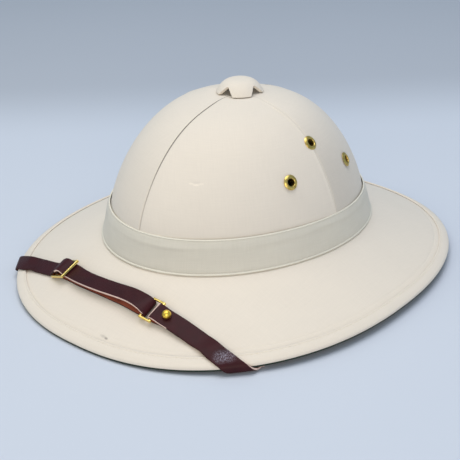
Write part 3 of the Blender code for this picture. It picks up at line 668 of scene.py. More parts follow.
BRASS = make_metal("lacquered_brass", colour(246, 218, 130), colour(164, 132, 58), 0.22, 0.4)
EYELET_BRASS = make_metal("eyelet_brass", colour(224, 196, 112), colour(124, 98, 44), 0.28, 0.7)
STUD_BRASS = make_metal("stud_brass", colour(250, 214, 92), colour(190, 140, 40), 0.36, 0.25)
STEEL = make_metal("plain_steel", colour(165, 165, 162), colour(110, 108, 104), 0.38, 0.4)
print("four metals")

# %% [markdown]
# ## The cover
#
# The crown is covered with four cotton panels, called gores, sewn together at the front, the rear
# and both sides. At each seam one panel is folded and lapped over its neighbour, which leaves a
# fine groove and a flat ridge beside it. Cloth pulled over a dome also lies a little flatter
# between the seams than at them, so the light breaks at a seam. To show all that in the mesh,
# columns of vertices follow each seam, close together beside it and wide apart in the middle of a
# gore.

# %% Columns that follow the seams
SEAM_OFFSETS = [offset * MM for offset in (0.0, 0.35, 0.8, 1.4, 2.1, 3.0, 4.5, 7.0)]
GORE_COLUMNS = 22
SIDE_SEAM_TURN = radians(2.0)      # a side seam leans forward as it climbs
SIDE_SEAM_STRAIGHT = 0.8           # share of the crown's height where it has turned to 0

Row = namedtuple("Row", "kind at seams radius angles")


def seam_angles(share):
    turn = SIDE_SEAM_TURN * (1 - share / SIDE_SEAM_STRAIGHT)
    return (-pi / 2, turn, pi / 2, pi - turn, 3 * pi / 2)


def gore_angles(seams, radius):
    """Plan angles of all columns in a ring."""
    squeeze = min(1.0, 0.6 * radius / SEAM_OFFSETS[-1])
    steps = [offset * squeeze / radius for offset in SEAM_OFFSETS]
    angles = []
    for start, end in zip(seams, seams[1:]):
        near = [start + step for step in steps]
        far = [end - step for step in reversed(steps[1:])]
        span = (far[0] - near[-1]) / (GORE_COLUMNS + 1)
        angles += near + [near[-1] + span * (i + 1) for i in range(GORE_COLUMNS)] + far
    return angles


def make_row(kind, at, share, oval):
    seams = seam_angles(share)
    radius = oval_radius(oval, 0.0)
    return Row(kind, at, seams, radius, gore_angles(seams, radius))


CROWN_DEGREES = [4, SUMMIT_DEGREES] + [SUMMIT_DEGREES + 2.4 * i for i in range(1, 33)] + [90]
WALL_HEIGHTS = [height * MM for height in (18, 11, 5, 1)]
BRIM_SHARES = (0.0, 0.03, 0.08, 0.15, 0.23, 0.32, 0.42, 0.52, 0.62, 0.72, 0.82, 0.91, 1.0)
BRIM_BACKS = [back * MM for back in (13, 11.5, 10.7, 10.2, 9.8, 9.4, 8.9, 8, 7, 6, 4.5, 3, 1.5, 0)]
BRIM_OPEN = 15 * MM                # the rows by share end this far from the rim

ROWS = [make_row("crown", degrees, crown_share(degrees), crown_oval(crown_share(degrees)))
        for degrees in CROWN_DEGREES]
ROWS += [make_row("wall", height, 0.0, CROWN_TOP_OF_BAND) for height in WALL_HEIGHTS]
ROWS += [make_row("brim share", share, 0.0, CROWN_FOOT) for share in BRIM_SHARES]
ROWS += [make_row("brim back", distance, 0.0, CROWN_FOOT) for distance in BRIM_BACKS]


def brim_share_of(row, angle):
    width = brim_width(angle)
    return row.at * (1 - BRIM_OPEN / width) if row.kind == "brim share" else 1 - row.at / width


def cover_point(row, angle):
    if row.kind == "crown":
        spot = crown_point(angle, crown_share(row.at))
        if row.at <= SUMMIT_DEGREES:
            spot.z = summit_height()
        else:
            spot.z += SUMMIT_RISE * (1 - ease((row.at - SUMMIT_DEGREES) / SUMMIT_SPREAD))
        return spot
    if row.kind == "wall":
        return wall_point(angle, row.at)
    return brim_point(angle, brim_share_of(row, angle))


print(len(ROWS), "rows of", len(ROWS[0].angles), "columns")

# %% [markdown]
# The relief is kept apart from the shape: first the smooth hat, then a function that says how far
# each vertex moves along its own normal. It adds the groove and the lap of each seam, the flatter
# middle of each gore, a faint sewn line inside the brim's edge, and the slight waves that any
# pressed hat has. Left and right of a seam differ only in which panel lies on top.

# %% Relief of the cover
LAP_RISE = 0.24 * MM
LAP_WIDTH = 2.0 * MM
LAP_START = 0.4 * MM
LAP_END = 0.7 * MM
SEAM_DEPTH = 0.5 * MM
SEAM_WIDTH = 0.45 * MM
GORE_FLAT = 1.3 * MM
GORE_FLAT_FROM, GORE_FLAT_FADE = 25, 45        # degrees down from the summit
RELIEF_FADE = 6                                # degrees below the flat summit
EDGE_CALM = 12 * MM                            # no waves reach the rim itself
BRIM_LINE = 9.8 * MM               # a sewn line this far inside the rim
BRIM_LINE_DEPTH = 0.25 * MM
BRIM_LINE_WIDTH = 0.5 * MM
WAVES = 0.22 * MM
WAVE_LENGTH = 38 * MM
FRONT_LEFT, REAR_LEFT, REAR_RIGHT, FRONT_RIGHT = range(4)
LAPS_AT_START = {FRONT_RIGHT}      # the gores that lie on top of the one before or after them
LAPS_AT_END = {FRONT_LEFT, REAR_LEFT, FRONT_RIGHT}


def lap(distance):
    return LAP_RISE * ease(distance / LAP_START) * (1 - ease((distance - LAP_WIDTH) / LAP_END))


def seam_relief(gore, before, after):
    depth = -SEAM_DEPTH * (bump(before, SEAM_WIDTH) + bump(after, SEAM_WIDTH))
    depth += lap(before) if gore in LAPS_AT_START else 0
    depth += lap(after) if gore in LAPS_AT_END else 0
    return depth


def waves(spot):
    return WAVES * noise.noise(spot / WAVE_LENGTH)


def distances(row, column):
    """The gore of a column, and how far it lies from the seams on both sides of its gore."""
    gore = min(column // (len(row.angles) // 4), FRONT_RIGHT)
    angle = (row.angles + [row.seams[-1]])[column]
    return gore, (angle - row.seams[gore]) * row.radius, (row.seams[gore + 1] - angle) * row.radius


def cover_relief(row, column, spot):
    if row.kind == "crown":
        gore, before, after = distances(row, column)
        across = before / (before + after)
        flat = GORE_FLAT * (0.4 - 4 * across * (1 - across)) * ease((row.at - GORE_FLAT_FROM) / GORE_FLAT_FADE)
        fade = ease((row.at - SUMMIT_DEGREES) / RELIEF_FADE)
        return seam_relief(gore, before, after) * fade + flat + waves(spot) * fade
    if row.kind == "brim back":
        sewn = 1 - 0.9 * bump(degrees(atan2(spot.y, spot.x)) + 125, 50)     # it nearly fades out at one side
        line = sewn * BRIM_LINE_DEPTH * bump(row.at - BRIM_LINE, BRIM_LINE_WIDTH)
        return waves(spot) * ease(row.at / EDGE_CALM) - line
    return waves(spot) if row.kind == "brim share" else 0.0


# %% [markdown]
# The wall of the shell is 2.4 mm of pressed fibre. Its inner skin carries no relief, so it is grown
# from the rim back up to the summit on points set in from the smooth hat, one row in three. The two
# ends at the summit are closed, so that the cover is one sound body. The holes for the eyelets, the
# ventilator and the rivets are cut last, with one Boolean whose cutter holds every cylinder.

# %% Growing the cover
# painted shade along each seam's groove, strongest at the front seam
PAINTED_GROOVE_SHADES = (-0.72, -0.12, -0.3, -0.12)    # of the seams, from the front one round by the left
REAR_LEFT_TONE = -0.16
REAR_RIGHT_TONE = -0.02
FRONT_RIGHT_TONE = -0.05


def gore_tone(gore, across, degrees):
    """How much lighter or darker a gore is painted: the rear left one darkest, low down and near the side seam
    it shares with the front left one; the front right one a little darker low down; the rear right one a little
    darker all over.
    """
    low = ease((degrees - 25) / 40)
    if gore == REAR_LEFT:
        return REAR_LEFT_TONE * low * (1 - 0.75 * ease(across / 0.55))
    if gore == FRONT_RIGHT:
        return FRONT_RIGHT_TONE * low
    return REAR_RIGHT_TONE if gore == REAR_RIGHT else 0.0


def painted_groove_shade(seam, degrees):
    """A seam's painted shadow line, strong near the summit and weaker towards the band."""
    return PAINTED_GROOVE_SHADES[seam % 4] * (1 - 0.6 * ease((degrees - 40) / 35))


def face_tone(row, column):
    columns = len(row.angles) // 4
    gore, across = min(column // columns, FRONT_RIGHT), column % columns
    if across == 0:
        return painted_groove_shade(gore, row.at)
    if across == columns - 1:
        return painted_groove_shade(gore + 1, row.at)
    angle = row.angles[column]
    return gore_tone(gore, (angle - row.seams[gore]) / (row.seams[gore + 1] - row.seams[gore]), row.at)


INNER_STEP = 3
GORE_UV_STEP = 0.3                 # metres between the gores' cloths in the UV map
CLOTH, FIBRE = 0, 1


def make_cover():
    mesh = bmesh.new()
    rings = grow(mesh, [[cover_point(row, angle) for angle in row.angles] for row in ROWS])
    mesh.normal_update()
    sample = rings[len(CROWN_DEGREES) // 2][0]
    outward = 1 if sample.normal.dot(sample.co - Vector((0, CROWN_AXIS_Y, 0))) > 0 else -1
    inner = [[vert.co - vert.normal * outward * WALL for vert in ring] for ring in rings[::-INNER_STEP]]
    for row, ring in zip(ROWS, rings):
        normals = [vert.normal * outward for vert in ring]
        for column, (vert, normal) in enumerate(zip(ring, normals)):
            vert.co += normal * cover_relief(row, column, vert.co)
    lengths = lengths_along([cover_point(row, -pi / 4) for row in ROWS])
    flat_from = len(CROWN_DEGREES) + len(WALL_HEIGHTS)

    def cloth_at(row, column):
        if row >= flat_from:
            return rings[row][column % len(rings[row])].co.xy
        gore, before, after = distances(ROWS[row], column)
        return Vector(((before - after) / 2 + gore * GORE_UV_STEP, lengths[row]))

    lay_uv(mesh, rings, cloth_at)
    # each face's panel tone, and the painted shade in the seams' grooves
    tone = mesh.faces.layers.float.new("panel_tone_and_groove_shade")
    address = addresses(rings)
    cloth_faces = list(mesh.faces)
    for face in cloth_faces:
        rows, columns = zip(*(address[vert] for vert in face.verts))
        column = min(columns) if max(columns) - min(columns) == 1 else max(columns)
        face[tone] = face_tone(ROWS[min(rows)], column) if max(rows) < len(CROWN_DEGREES) else 0.0
    last = rings[-1]
    for spots in inner:
        last = next_ring(mesh, last, spots)
    close(mesh, rings[0])
    close(mesh, last)
    for face in mesh.faces:
        face.material_index = FIBRE
    for face in cloth_faces:
        face.material_index = CLOTH
    return finish_piece("helmet_cover", mesh, [CREAM_COTTON, PRESSED_FIBRE])


cover = make_cover()
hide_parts("helmet_shell")

# %% [markdown]
# ## Holes through the cover
#
# Three eyelets on each side let air through the crown, four small holes do so under the ventilator,
# and a post and two rivets pass through as well. Each hole is a cone primitive with equal ends,
# laid along the direction out of the crown at its place.

# %% The places of the holes
Eyelet = namedtuple("Eyelet", "name angle height")
EYELETS = (
    Eyelet("front", radians(-23.3), 89.9 * MM),
    Eyelet("top", radians(0.6), 108.0 * MM),
    Eyelet("rear", radians(25.8), 85.7 * MM),
)
EYELET_BARREL = 3.2 * MM
CAP_Y = 7.5 * MM
POST_RADIUS = 2.5 * MM
VENT_HOLE_RADIUS = 2.4 * MM
VENT_HOLE_CIRCLE = 9.2 * MM
CROWN_DRILL = 14 * MM              # lengths of the cutters
RIVET_DRILL = 30 * MM
LEATHER_DRILL = 8 * MM
STUD_DRILL = 12 * MM
RIVET_PLACE = mm(88.6, 5.5, 37.3)
RIVET_SHANK = 1.6 * MM
AGAINST_WALL = Vector((-1.0, 0.0, -0.2)).normalized()
SIDES = {"left": Vector((1, 1, 1)), "right": Vector((-1, 1, 1))}


def eyelet_frame(eyelet):
    """Where an eyelet sits on the wearer's left, and the direction out of the crown there."""
    start = foot_height(eyelet.angle) + BAND_HEIGHT
    share = (eyelet.height - start) / (CROWN_HEIGHT - start)
    step = 0.01
    along = crown_point(eyelet.angle + step, share) - crown_point(eyelet.angle - step, share)
    upward = crown_point(eyelet.angle, share + step) - crown_point(eyelet.angle, share - step)
    return crown_point(eyelet.angle, share), along.cross(upward).normalized()


def upright_at(spot, direction):
    """Stands a piece's own Z along a direction at a spot."""
    return Matrix.Translation(spot) @ direction.to_track_quat("Z", "Y").to_matrix().to_4x4()


def hole_places():
    """(place, direction, radius, length) of every hole."""
    top = Vector((0, CAP_Y, summit_height()))
    yield top, UP, POST_RADIUS + GAP, CROWN_DRILL
    for turn in (0, pi / 2, pi, 3 * pi / 2):
        yield top + Vector((cos(turn), sin(turn), 0)) * VENT_HOLE_CIRCLE, UP, VENT_HOLE_RADIUS, CROWN_DRILL
    for flip in SIDES.values():
        yield RIVET_PLACE * flip, AGAINST_WALL * flip, RIVET_SHANK + GAP, RIVET_DRILL
        for eyelet in EYELETS:
            spot, outward = eyelet_frame(eyelet)
            yield spot * flip, outward * flip, EYELET_BARREL + GAP, CROWN_DRILL


def cut_holes(piece, holes):
    mesh = bmesh.new()
    for spot, direction, radius, length in holes:
        bmesh.ops.create_cone(mesh, cap_ends=True, segments=24, radius1=radius, radius2=radius, depth=length,
                              matrix=upright_at(spot, direction))
    cutter = new_object("hole_cutter", mesh)
    add_modifier(piece, "holes", "BOOLEAN", operation="DIFFERENCE", solver="EXACT", object=cutter)
    settle(piece)
    bpy.data.objects.remove(cutter)


cut_holes(cover, hole_places())

# %% [markdown]
# ## Hoops round the hat
#
# The binding, the lining and the band are hoops: one closed section carried round the hat. The
# section is a short list of points for a plan angle, and a relief is added where the cloth waves.

# %% A hoop from its section
HOOP_COLUMNS = 240


def make_hoop(name, section, materials, columns=HOOP_COLUMNS, looks=None, smooth_angle=50):
    """section(angle) lists the points of the closed section; looks gives each side's material."""
    mesh = bmesh.new()
    sections = [section(-pi / 2 + 2 * pi * i / columns) for i in range(columns)]
    rings = grow(mesh, list(zip(*sections)))
    join_ends(mesh, rings)
    lengths = lengths_along(sections[0] + sections[0][:1])
    radius = (sections[0][0].xy - Vector((0, CROWN_AXIS_Y))).length
    lay_uv(mesh, rings, lambda row, column: (2 * pi * radius * column / columns, lengths[row]))
    if looks:
        address = addresses(rings)
        for face in mesh.faces:
            rows = sorted({address[vert][0] for vert in face.verts})
            face.material_index = looks[rows[-1] if rows[-1] - rows[0] > 1 else rows[0]]
    return finish_piece(name, mesh, materials, smooth_angle)


# %% [markdown]
# ### The binding
#
# A strip of the same cotton is folded over the rim of the brim and sewn down on top. From above it
# is a flat band 6 mm wide with a row of stitches near its inner edge, and from the side a soft
# roll. A strip sewn round a curve puckers a little between its stitches.

# %% The binding
BINDING_WIDTH = 6.0 * MM
BINDING_THICK = 1.1 * MM
STITCH_LINE = 4.9 * MM
STITCH_PITCH = 3.3 * MM
PUCKER = 0.07 * MM
PUCKER_REACH = 1.5 * MM
BINDING_COLUMNS = 960
BINDING_INSIDE = [back * MM for back in (4, 1.5, 0)]             # on the shell, measured from the rim

Beside = namedtuple("Beside", "out height")    # outside the rim, from the middle of the edge
BINDING_TOP = [(back * MM, lift * MM) for back, lift in (        # on the brim, measured from the rim
    (1.0, 1.4), (2.4, 1.45), (3.6, 1.42), (4.3, 1.36), (4.7, 1.2), (4.9, 1.12), (5.1, 1.2), (5.5, 1.34),
    (5.9, 1.25), (6.15, 0.9), (6.2, 0.3))]
BINDING_SIDE = [Beside(out * MM, height * MM) for out, height in (
    (1.4, 1.85), (2.2, 1.7), (2.55, 1.9), (2.7, 2.4), (2.68, 2.8), (2.45, 3.6), (2.0, 4.35), (1.2, 4.9))]


def binding_section(angle):
    rise, middle, width = edge_rise(angle), oval_radius(BRIM_EDGE, angle), brim_width(angle)
    inside = [brim_point(angle, 1 - back / width, GAP) for back in BINDING_INSIDE]
    side = [place(middle + spot.out, angle, spot.height + rise) for spot in BINDING_SIDE]
    pucker = PUCKER * sin(BINDING_COLUMNS / 4 * angle)
    top = [brim_point(angle, 1 - back / width, lift + pucker * bump(back - STITCH_LINE, PUCKER_REACH))
           for back, lift in BINDING_TOP]
    return inside + side + top


binding = make_hoop("edge_binding", binding_section, [CREAM_COTTON], BINDING_COLUMNS)
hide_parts("brim_binding")

# %% [markdown]
# ### The lining under the brim
#
# Dark green cotton under the brim rests the eyes in strong sun. It runs from the head opening to
# the edge, where its hem is the only thing that touches the table. From above, only a dark thread
# of it shows under the binding.

# %% The lining
LINING_THICK = 1.0 * MM
LINING_SHARES = (0.955, 0.93, 0.88, 0.8, 0.68, 0.55, 0.42, 0.28, 0.14, 0.05, 0.03)
HEM = [Beside(out * MM, 0.0) for out in (1.6, 0.4, -0.8, -1.9)]
LINING_EDGE = [Beside(out * MM, height * MM) for out, height in (
    (-0.6, 1.0), (1.2, 1.4), (2.05, 1.4), (2.25, 1.0), (2.0, 0.25))]


def lining_section(angle):
    rise, middle = edge_rise(angle), oval_radius(BRIM_EDGE, angle)
    top = -(WALL + GAP)
    low = top - LINING_THICK
    hem, edge = ([place(middle + spot.out, angle, spot.height + rise) for spot in spots]
                 for spots in (HEM, LINING_EDGE))
    under = [brim_point(angle, share, low + waves(brim_point(angle, share)) * ease((0.95 - share) / 0.1))
             for share in LINING_SHARES]
    above = [brim_point(angle, share, top) for share in reversed(LINING_SHARES[::2])]
    return hem + under + above + edge


lining = make_hoop("green_lining", lining_section, [GREEN_COTTON])
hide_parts("underbrim_lining")

# %% [markdown]
# ### The band
#
# A strip of twill round the foot of the crown hides where the cover of the crown meets the cover of
# the brim. Its edges are turned over a thin cord, which makes a bead along the top and a rounder
# one along the bottom. The strip is straight and the crown is not, so it is eased on with faint
# folds that run along it, mostly under its top edge.

# %% The band
BAND_THICK = 1.6 * MM              # its outer face, from the wall
BandSpot = namedtuple("BandSpot", "height out look")
TWILL, BEAD = 0, 1
BAND_BOTTOM = ((0.3, 0.3, BEAD), (0.15, 1.1, BEAD), (0.3, 1.65, BEAD), (0.65, 1.9, BEAD), (1.05, 1.85, BEAD),
               (1.3, 1.6, BEAD), (1.45, 1.2, TWILL), (1.8, 1.3, TWILL), (2.6, 1.55, TWILL))
BAND_TOP = ((21.5, 1.5, TWILL), (22.6, 1.3, TWILL), (23.3, 1.05, TWILL), (23.5, 0.95, BEAD), (23.7, 1.15, BEAD),
            (24.0, 1.3, BEAD), (24.3, 1.2, BEAD), (24.45, 0.9, BEAD), (24.4, 0.2, BEAD))
BAND_ROWS = 16
FREE_FROM, FREE_TO = 3 * MM, 22.5 * MM         # the beads hold the cloth outside these heights
FOLD_HEIGHT = 18.8 * MM
FOLD_RISE = 0.55 * MM
FOLD_WIDTH = 1.5 * MM
FOLD_WANDER = 1.6 * MM
DENT_RISE = 0.55 * MM
DENT_HEIGHT = 11 * MM
DEEPEST_DENT = -0.7 * MM


def band_spots():
    low, high = BAND_BOTTOM[-1][0], BAND_TOP[0][0]
    face = [(low + (high - low) * (i + 1) / (BAND_ROWS + 1), BAND_THICK / MM, TWILL) for i in range(BAND_ROWS)]
    return [BandSpot(height * MM, out * MM, look) for height, out, look in (*BAND_BOTTOM, *face, *BAND_TOP)]


BAND_SPOTS = band_spots()


def band_relief(angle, height):
    """Long folds under the top edge, soft dents lower down, and nothing near the beads."""
    free = ease((height - FREE_FROM) / (4 * MM)) * ease((FREE_TO - height) / (3 * MM))
    along = Vector((cos(angle), sin(angle), 0)) * 2.2
    wander = FOLD_WANDER * noise.noise(along * 1.7)
    strength = 0.5 + 0.9 * noise.noise(along + UP * 7)
    fold = FOLD_RISE * max(strength, 0.0) * bump(height - FOLD_HEIGHT - wander, FOLD_WIDTH)
    dents = DENT_RISE * noise.noise(along * 2.4 + UP * (height / DENT_HEIGHT))
    return max(free * (fold + dents), DEEPEST_DENT)


def band_section(angle):
    return [wall_point(angle, spot.height, spot.out + band_relief(angle, spot.height)) for spot in BAND_SPOTS]


band = make_hoop("twill_band", band_section, [BAND_TWILL, PIPING_COTTON],
                 looks=[spot.look for spot in BAND_SPOTS], smooth_angle=60)
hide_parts("hat_band")

# %% [markdown]
# ## The ventilator
#
# On top sits a little cloth-covered cap on four short legs. Air leaves between the legs. The cap is
# a flat dome, round in plan, and the gaps between its legs are cut from its skirt: they are a
# little narrower at the top, with rounded corners. The skin is grown ring after ring as the cover
# was, but each column ends where its leg or its gap ends. Solidify then gives it its wall, and a
# plane trims the legs level just above the crown.

# %% The ventilator cap
CAP_RADIUS = 18.2 * MM
CAP_HEIGHT = 10.3 * MM
CAP_POWER = 3.6
CAP_WALL = 2.0 * MM
CAP_OVERRUN = 1.05                 # the legs first reach a little too far, then the plane trims them
NOTCH_REACH = 0.74
NOTCH_DEGREES = (3, 24)            # half of a gap, at its point and at the legs' feet
CAP_FOOT_LIFT = 0.9 * MM           # of the legs above the crown
CAP_DEGREES = (0, 1.5, 3, 4.5, 6, 8, 10, 12, 14, 16, 18, 20, 22, 24, 26.5, 29, 32, 36, 40.5)
CAP_ROWS = 16
CAP_ROW_POWER = 0.8                # crowds the rows towards the skirt
CAP_ROUNDING = 0.4 * MM


def cap_angles():
    angles = []
    for quarter in range(4):
        angles += [radians(quarter * 90 + off) for off in CAP_DEGREES]
        angles += [radians(quarter * 90 + 90 - off) for off in reversed((*CAP_DEGREES[1:], 45))]
    return angles


def cap_reach(angle):
    """How far down the cap's curve goes: to the foot of a leg, less over a gap."""
    off = abs((angle + pi / 4) % (pi / 2) - pi / 4)
    start, end = (radians(value) for value in NOTCH_DEGREES)
    down = NOTCH_REACH + (1 - NOTCH_REACH) * max(off - start, 0) / (end - start)
    return min(down, CAP_OVERRUN)


def cap_point(angle, share):
    radius = CAP_RADIUS * share
    height = summit_height() + CAP_HEIGHT * (1 - share ** CAP_POWER)
    return Vector((radius * cos(angle), CAP_Y + radius * sin(angle), height))


def make_cap():
    mesh = bmesh.new()
    angles = cap_angles()
    shares = [[cap_reach(angle) * ((row + 1) / CAP_ROWS) ** CAP_ROW_POWER for angle in angles]
              for row in range(CAP_ROWS)]
    rings = grow(mesh, [[cap_point(angle, share) for angle, share in zip(angles, row)] for row in shares])

    def cloth_at(row, column):
        angle, share = angles[column % len(angles)], shares[row][column % len(angles)]
        drop = CAP_HEIGHT * share ** CAP_POWER
        return Vector((cos(angle), sin(angle))) * (CAP_RADIUS * share + 0.6 * drop)

    lay_uv(mesh, rings, cloth_at, wraps=False)
    close(mesh, rings[0])
    cap = finish_piece("ventilator_cap", mesh, [CREAM_COTTON])
    add_modifier(cap, "wall", "SOLIDIFY", thickness=CAP_WALL, offset=-1)
    settle(cap)
    mesh = bmesh.new()
    mesh.from_mesh(cap.data)
    trimmed = bmesh.ops.bisect_plane(mesh, geom=mesh.verts[:] + mesh.edges[:] + mesh.faces[:],
                                     plane_co=Vector((0, 0, summit_height() + CAP_FOOT_LIFT)), plane_no=-UP,
                                     clear_outer=True)["geom_cut"]
    cut_edges = [item for item in trimmed if isinstance(item, bmesh.types.BMEdge)]
    bmesh.ops.edgeloop_fill(mesh, edges=cut_edges)
    bmesh.ops.recalc_face_normals(mesh, faces=mesh.faces)
    mesh.to_mesh(cap.data)
    mesh.free()
    round_look(cap, 45)
    add_modifier(cap, "soft edges", "BEVEL", width=CAP_ROUNDING, segments=2, limit_method="ANGLE",
                 angle_limit=radians(50))
    return cap


cap = make_cap()
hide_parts("vent_cap")

# %% [markdown]
# ## Eyelets
#
# An eyelet is a short brass tube. Its outer end is rolled into a round flange, and a washer inside
# the crown clinches the other end. It is a turned part, so its section is drawn once, as a chain of
# extruded vertices, and spun about its own axis. The same section serves all six.

# %% Turning a profile
MERGE_CLOSER_THAN = 0.001 * MM


def turn_profile(mesh, profile, steps, closed=True):
    """Spins (radius, height) points about Z."""
    chain = [mesh.verts.new((profile[0][0], 0, profile[0][1]))]
    for radius, height in profile[1:]:
        made = bmesh.ops.extrude_vert_indiv(mesh, verts=[chain[-1]])["verts"][0]
        made.co = Vector((radius, 0, height))
        chain.append(made)
    edges = list(mesh.edges)
    if closed:
        edges += bmesh.ops.contextual_create(mesh, geom=[chain[-1], chain[0]])["edges"]
    bmesh.ops.spin(mesh, geom=chain + edges, cent=ZERO, axis=UP, angle=2 * pi, steps=steps, use_merge=True)
    bmesh.ops.remove_doubles(mesh, verts=mesh.verts, dist=MERGE_CLOSER_THAN)


EYELET_LOW = -(WALL + 0.9 * MM)    # of the washer inside the crown
EYELET_PROFILE = [(radius * MM, height * MM) for radius, height in (
    (2.75, 0.55), (2.8, 0.95), (3.0, 1.28), (3.35, 1.45), (3.8, 1.42), (4.25, 1.22), (4.75, 0.98),
    (5.25, 0.66), (5.5, 0.38), (5.4, 0.3), (4.4, 0.3), (3.2, 0.3))]
EYELET_PROFILE += [(radius * MM, EYELET_LOW + drop * MM) for radius, drop in (
    (3.2, 0.0), (4.2, 0.0), (4.4, -0.1), (4.4, -0.4), (4.2, -0.5), (2.75, -0.5))]


def make_eyelet(name, spot, outward):
    mesh = bmesh.new()
    turn_profile(mesh, EYELET_PROFILE, 40)
    mesh.transform(upright_at(spot, outward))
    piece = finish_piece(name, mesh, [EYELET_BRASS], smooth_angle=50)
    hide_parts(name.replace("ring_", "eyelet_"))


for side, flip in SIDES.items():
    for eyelet in EYELETS:
        spot, outward = eyelet_frame(eyelet)
        make_eyelet(f"ring_{side}_{eyelet.name}", spot * flip, outward * flip)

# %% [markdown]
# ## The way of the chin strap
#
# When it isn't worn, the chin strap is laid over the front of the brim. The long part comes up
# round the brim's edge on the hat's right, lies on the brim, goes over a three-bar slide and under
# its last bar, then bridges the air to a rectangular ring. There it folds back and runs underneath,
# to the slide's middle bar. The short part starts at the ring, folded round it and held to itself
# by a ball stud, and goes round the edge on the left. A row gives the middle of the leather, the
# direction that its grain side faces and, at the edge of the brim, the line that it must lie along.

# %% What the strap lies on
STRAP_WIDTH = 13.3 * MM
STRAP_LIFT = 1.15 * MM
RAMP_AHEAD = 5 * MM                # it begins to rise this far before a corner reaches the binding
RAMP_LENGTH = 9 * MM
StrapRow = namedtuple("StrapRow", "middle grain along", defaults=(None,))


def brim_top(spot):
    """Height that a strap lies on at a place in plan, lifted where its corner meets the binding."""
    angle = atan2(spot.y - CROWN_AXIS_Y, spot.x)
    radius = hypot(spot.x, spot.y - CROWN_AXIS_Y)
    inner, outer = oval_radius(CROWN_FOOT, angle), oval_radius(BRIM_EDGE, angle) + SHELL_REACH
    high, low = foot_height(angle), edge_rise(angle) + EDGE_TOP
    bound = ease((radius - outer + BINDING_WIDTH + STRAP_WIDTH / 2 + RAMP_AHEAD) / RAMP_LENGTH)
    return high - (high - low) * brim_drop((radius - inner) / (outer - inner)) + bound * (BINDING_THICK + GAP)


def brim_normal(spot):
    reach = 2 * MM
    slopes = [(brim_top(spot + step) - brim_top(spot - step)) / (2 * reach)
              for step in (Vector((reach, 0)), Vector((0, reach)))]
    return Vector((-slopes[0], -slopes[1], 1)).normalized()


def across_strap(normal, heading):
    """Level with the strap's grain side, at a right angle to its way."""
    return normal.cross(heading.to_3d()).normalized()


def on_brim(origin, heading, along, lift, aside=0.0, twist=0.0):
    """A row above the brim: how far from a buckle, how high its middle is, how far it strays towards
    the crown, and how far it is turned about its own length."""
    spot = origin + heading * along + heading.orthogonal() * aside
    normal = brim_normal(spot)
    grain = normal * cos(twist) - across_strap(normal, heading) * sin(twist)
    return StrapRow(Vector((*spot, brim_top(spot))) + normal * lift, grain)


# %% [markdown]
# ### Round the edge, and hidden under the brim
#
# Leather bends one way only, so where the strap meets the brim's edge at a slant, it goes round on
# the shortest way, like a ribbon round a pencil: it creeps sideways as it turns. Under the brim it
# runs free to the temple, where a rivet holds it to the inside of the crown.

# %% Round the edge
WRAP_RADIUS = 4.1 * MM
WRAP_ANGLES = (55, 32, 9, -14, -37, -60, -83, -106)
Hidden = namedtuple("Hidden", "spot turned")      # turned: from facing down (0) to facing the crown's wall (1)
HIDDEN_WAY = (
    Hidden(mm(101.5, -76.0, 11.5), 0.25),
    Hidden(mm(92.5, -36.0, 19.5), 0.7),
    Hidden(mm(86.6, -13.0, 28.5), 0.95),
    Hidden(mm(88.7, 1.0, 36.5), 1.0),
    Hidden(mm(88.3, 13.0, 38.5), 1.0),
)


def edge_middle(angle):
    return place(oval_radius(BRIM_EDGE, angle), angle, EDGE_MIDDLE + edge_rise(angle))


def edge_frame(angle):
    """The middle of the rolled edge, the direction along it and the direction out of it."""
    step = 0.01
    tangent = edge_middle(angle + step) - edge_middle(angle - step)
    speed = tangent.length / (2 * step)
    tangent.normalize()
    return edge_middle(angle), tangent, tangent.cross(UP).normalized(), speed


def wrap_rows(crossing, heading):
    """Round the edge of the brim, on the shortest way for a strap that comes from heading."""
    _, tangent, outward, speed = edge_frame(crossing)
    slant = heading.dot(tangent) / heading.dot(outward)
    rows = []
    for degrees in WRAP_ANGLES:
        turn = radians(degrees)
        middle, tangent, outward, _ = edge_frame(crossing + WRAP_RADIUS * slant * (pi / 2 - turn) / speed)
        spoke = outward * cos(turn) + UP * sin(turn)
        rows.append(StrapRow(middle + spoke * WRAP_RADIUS, spoke, tangent))
    onward = (rows[-1].middle - rows[-2].middle).normalized()
    return rows + [StrapRow(rows[-1].middle + onward * STRAP_WIDTH / 2, rows[-1].grain)]


def hidden_rows(flip):
    """From the edge, free under the brim, to the crown's wall at the temple."""
    under = Vector((-0.35, 0.2, -1)).normalized()
    return [StrapRow(step.spot * flip, (under.lerp(AGAINST_WALL, step.turned) * flip).normalized())
            for step in HIDDEN_WAY]


# %% [markdown]
# ### Over the slide and round the bars
#
# The heights of the leather's middle above the brim are listed by distance from a buckle. Between
# them the strap follows a smooth curve, so that it arches over a bar as stiff leather does. Where
# it goes round a bar, half a turn of rows lies on a small circle.

# %% Over the slide
SLIDE_FOLD = 2.05 * MM             # radius of the leather's middle round a bar
RING_FOLD = 2.4 * MM
FOLD_STEPS = 10
BAR = 2.0 * MM
SLIDE_LIFTS = (1.7 * MM, 6.0 * MM)    # of a buckle's first and last bars
RING_LIFTS = (3.45 * MM, 3.85 * MM)
Station = namedtuple("Station", "along lift aside twist")


def stations(table):
    """The table's lengths are in millimetres and its twists in degrees."""
    return [Station(*mm(*lengths), radians(twist)) for *lengths, twist in table]


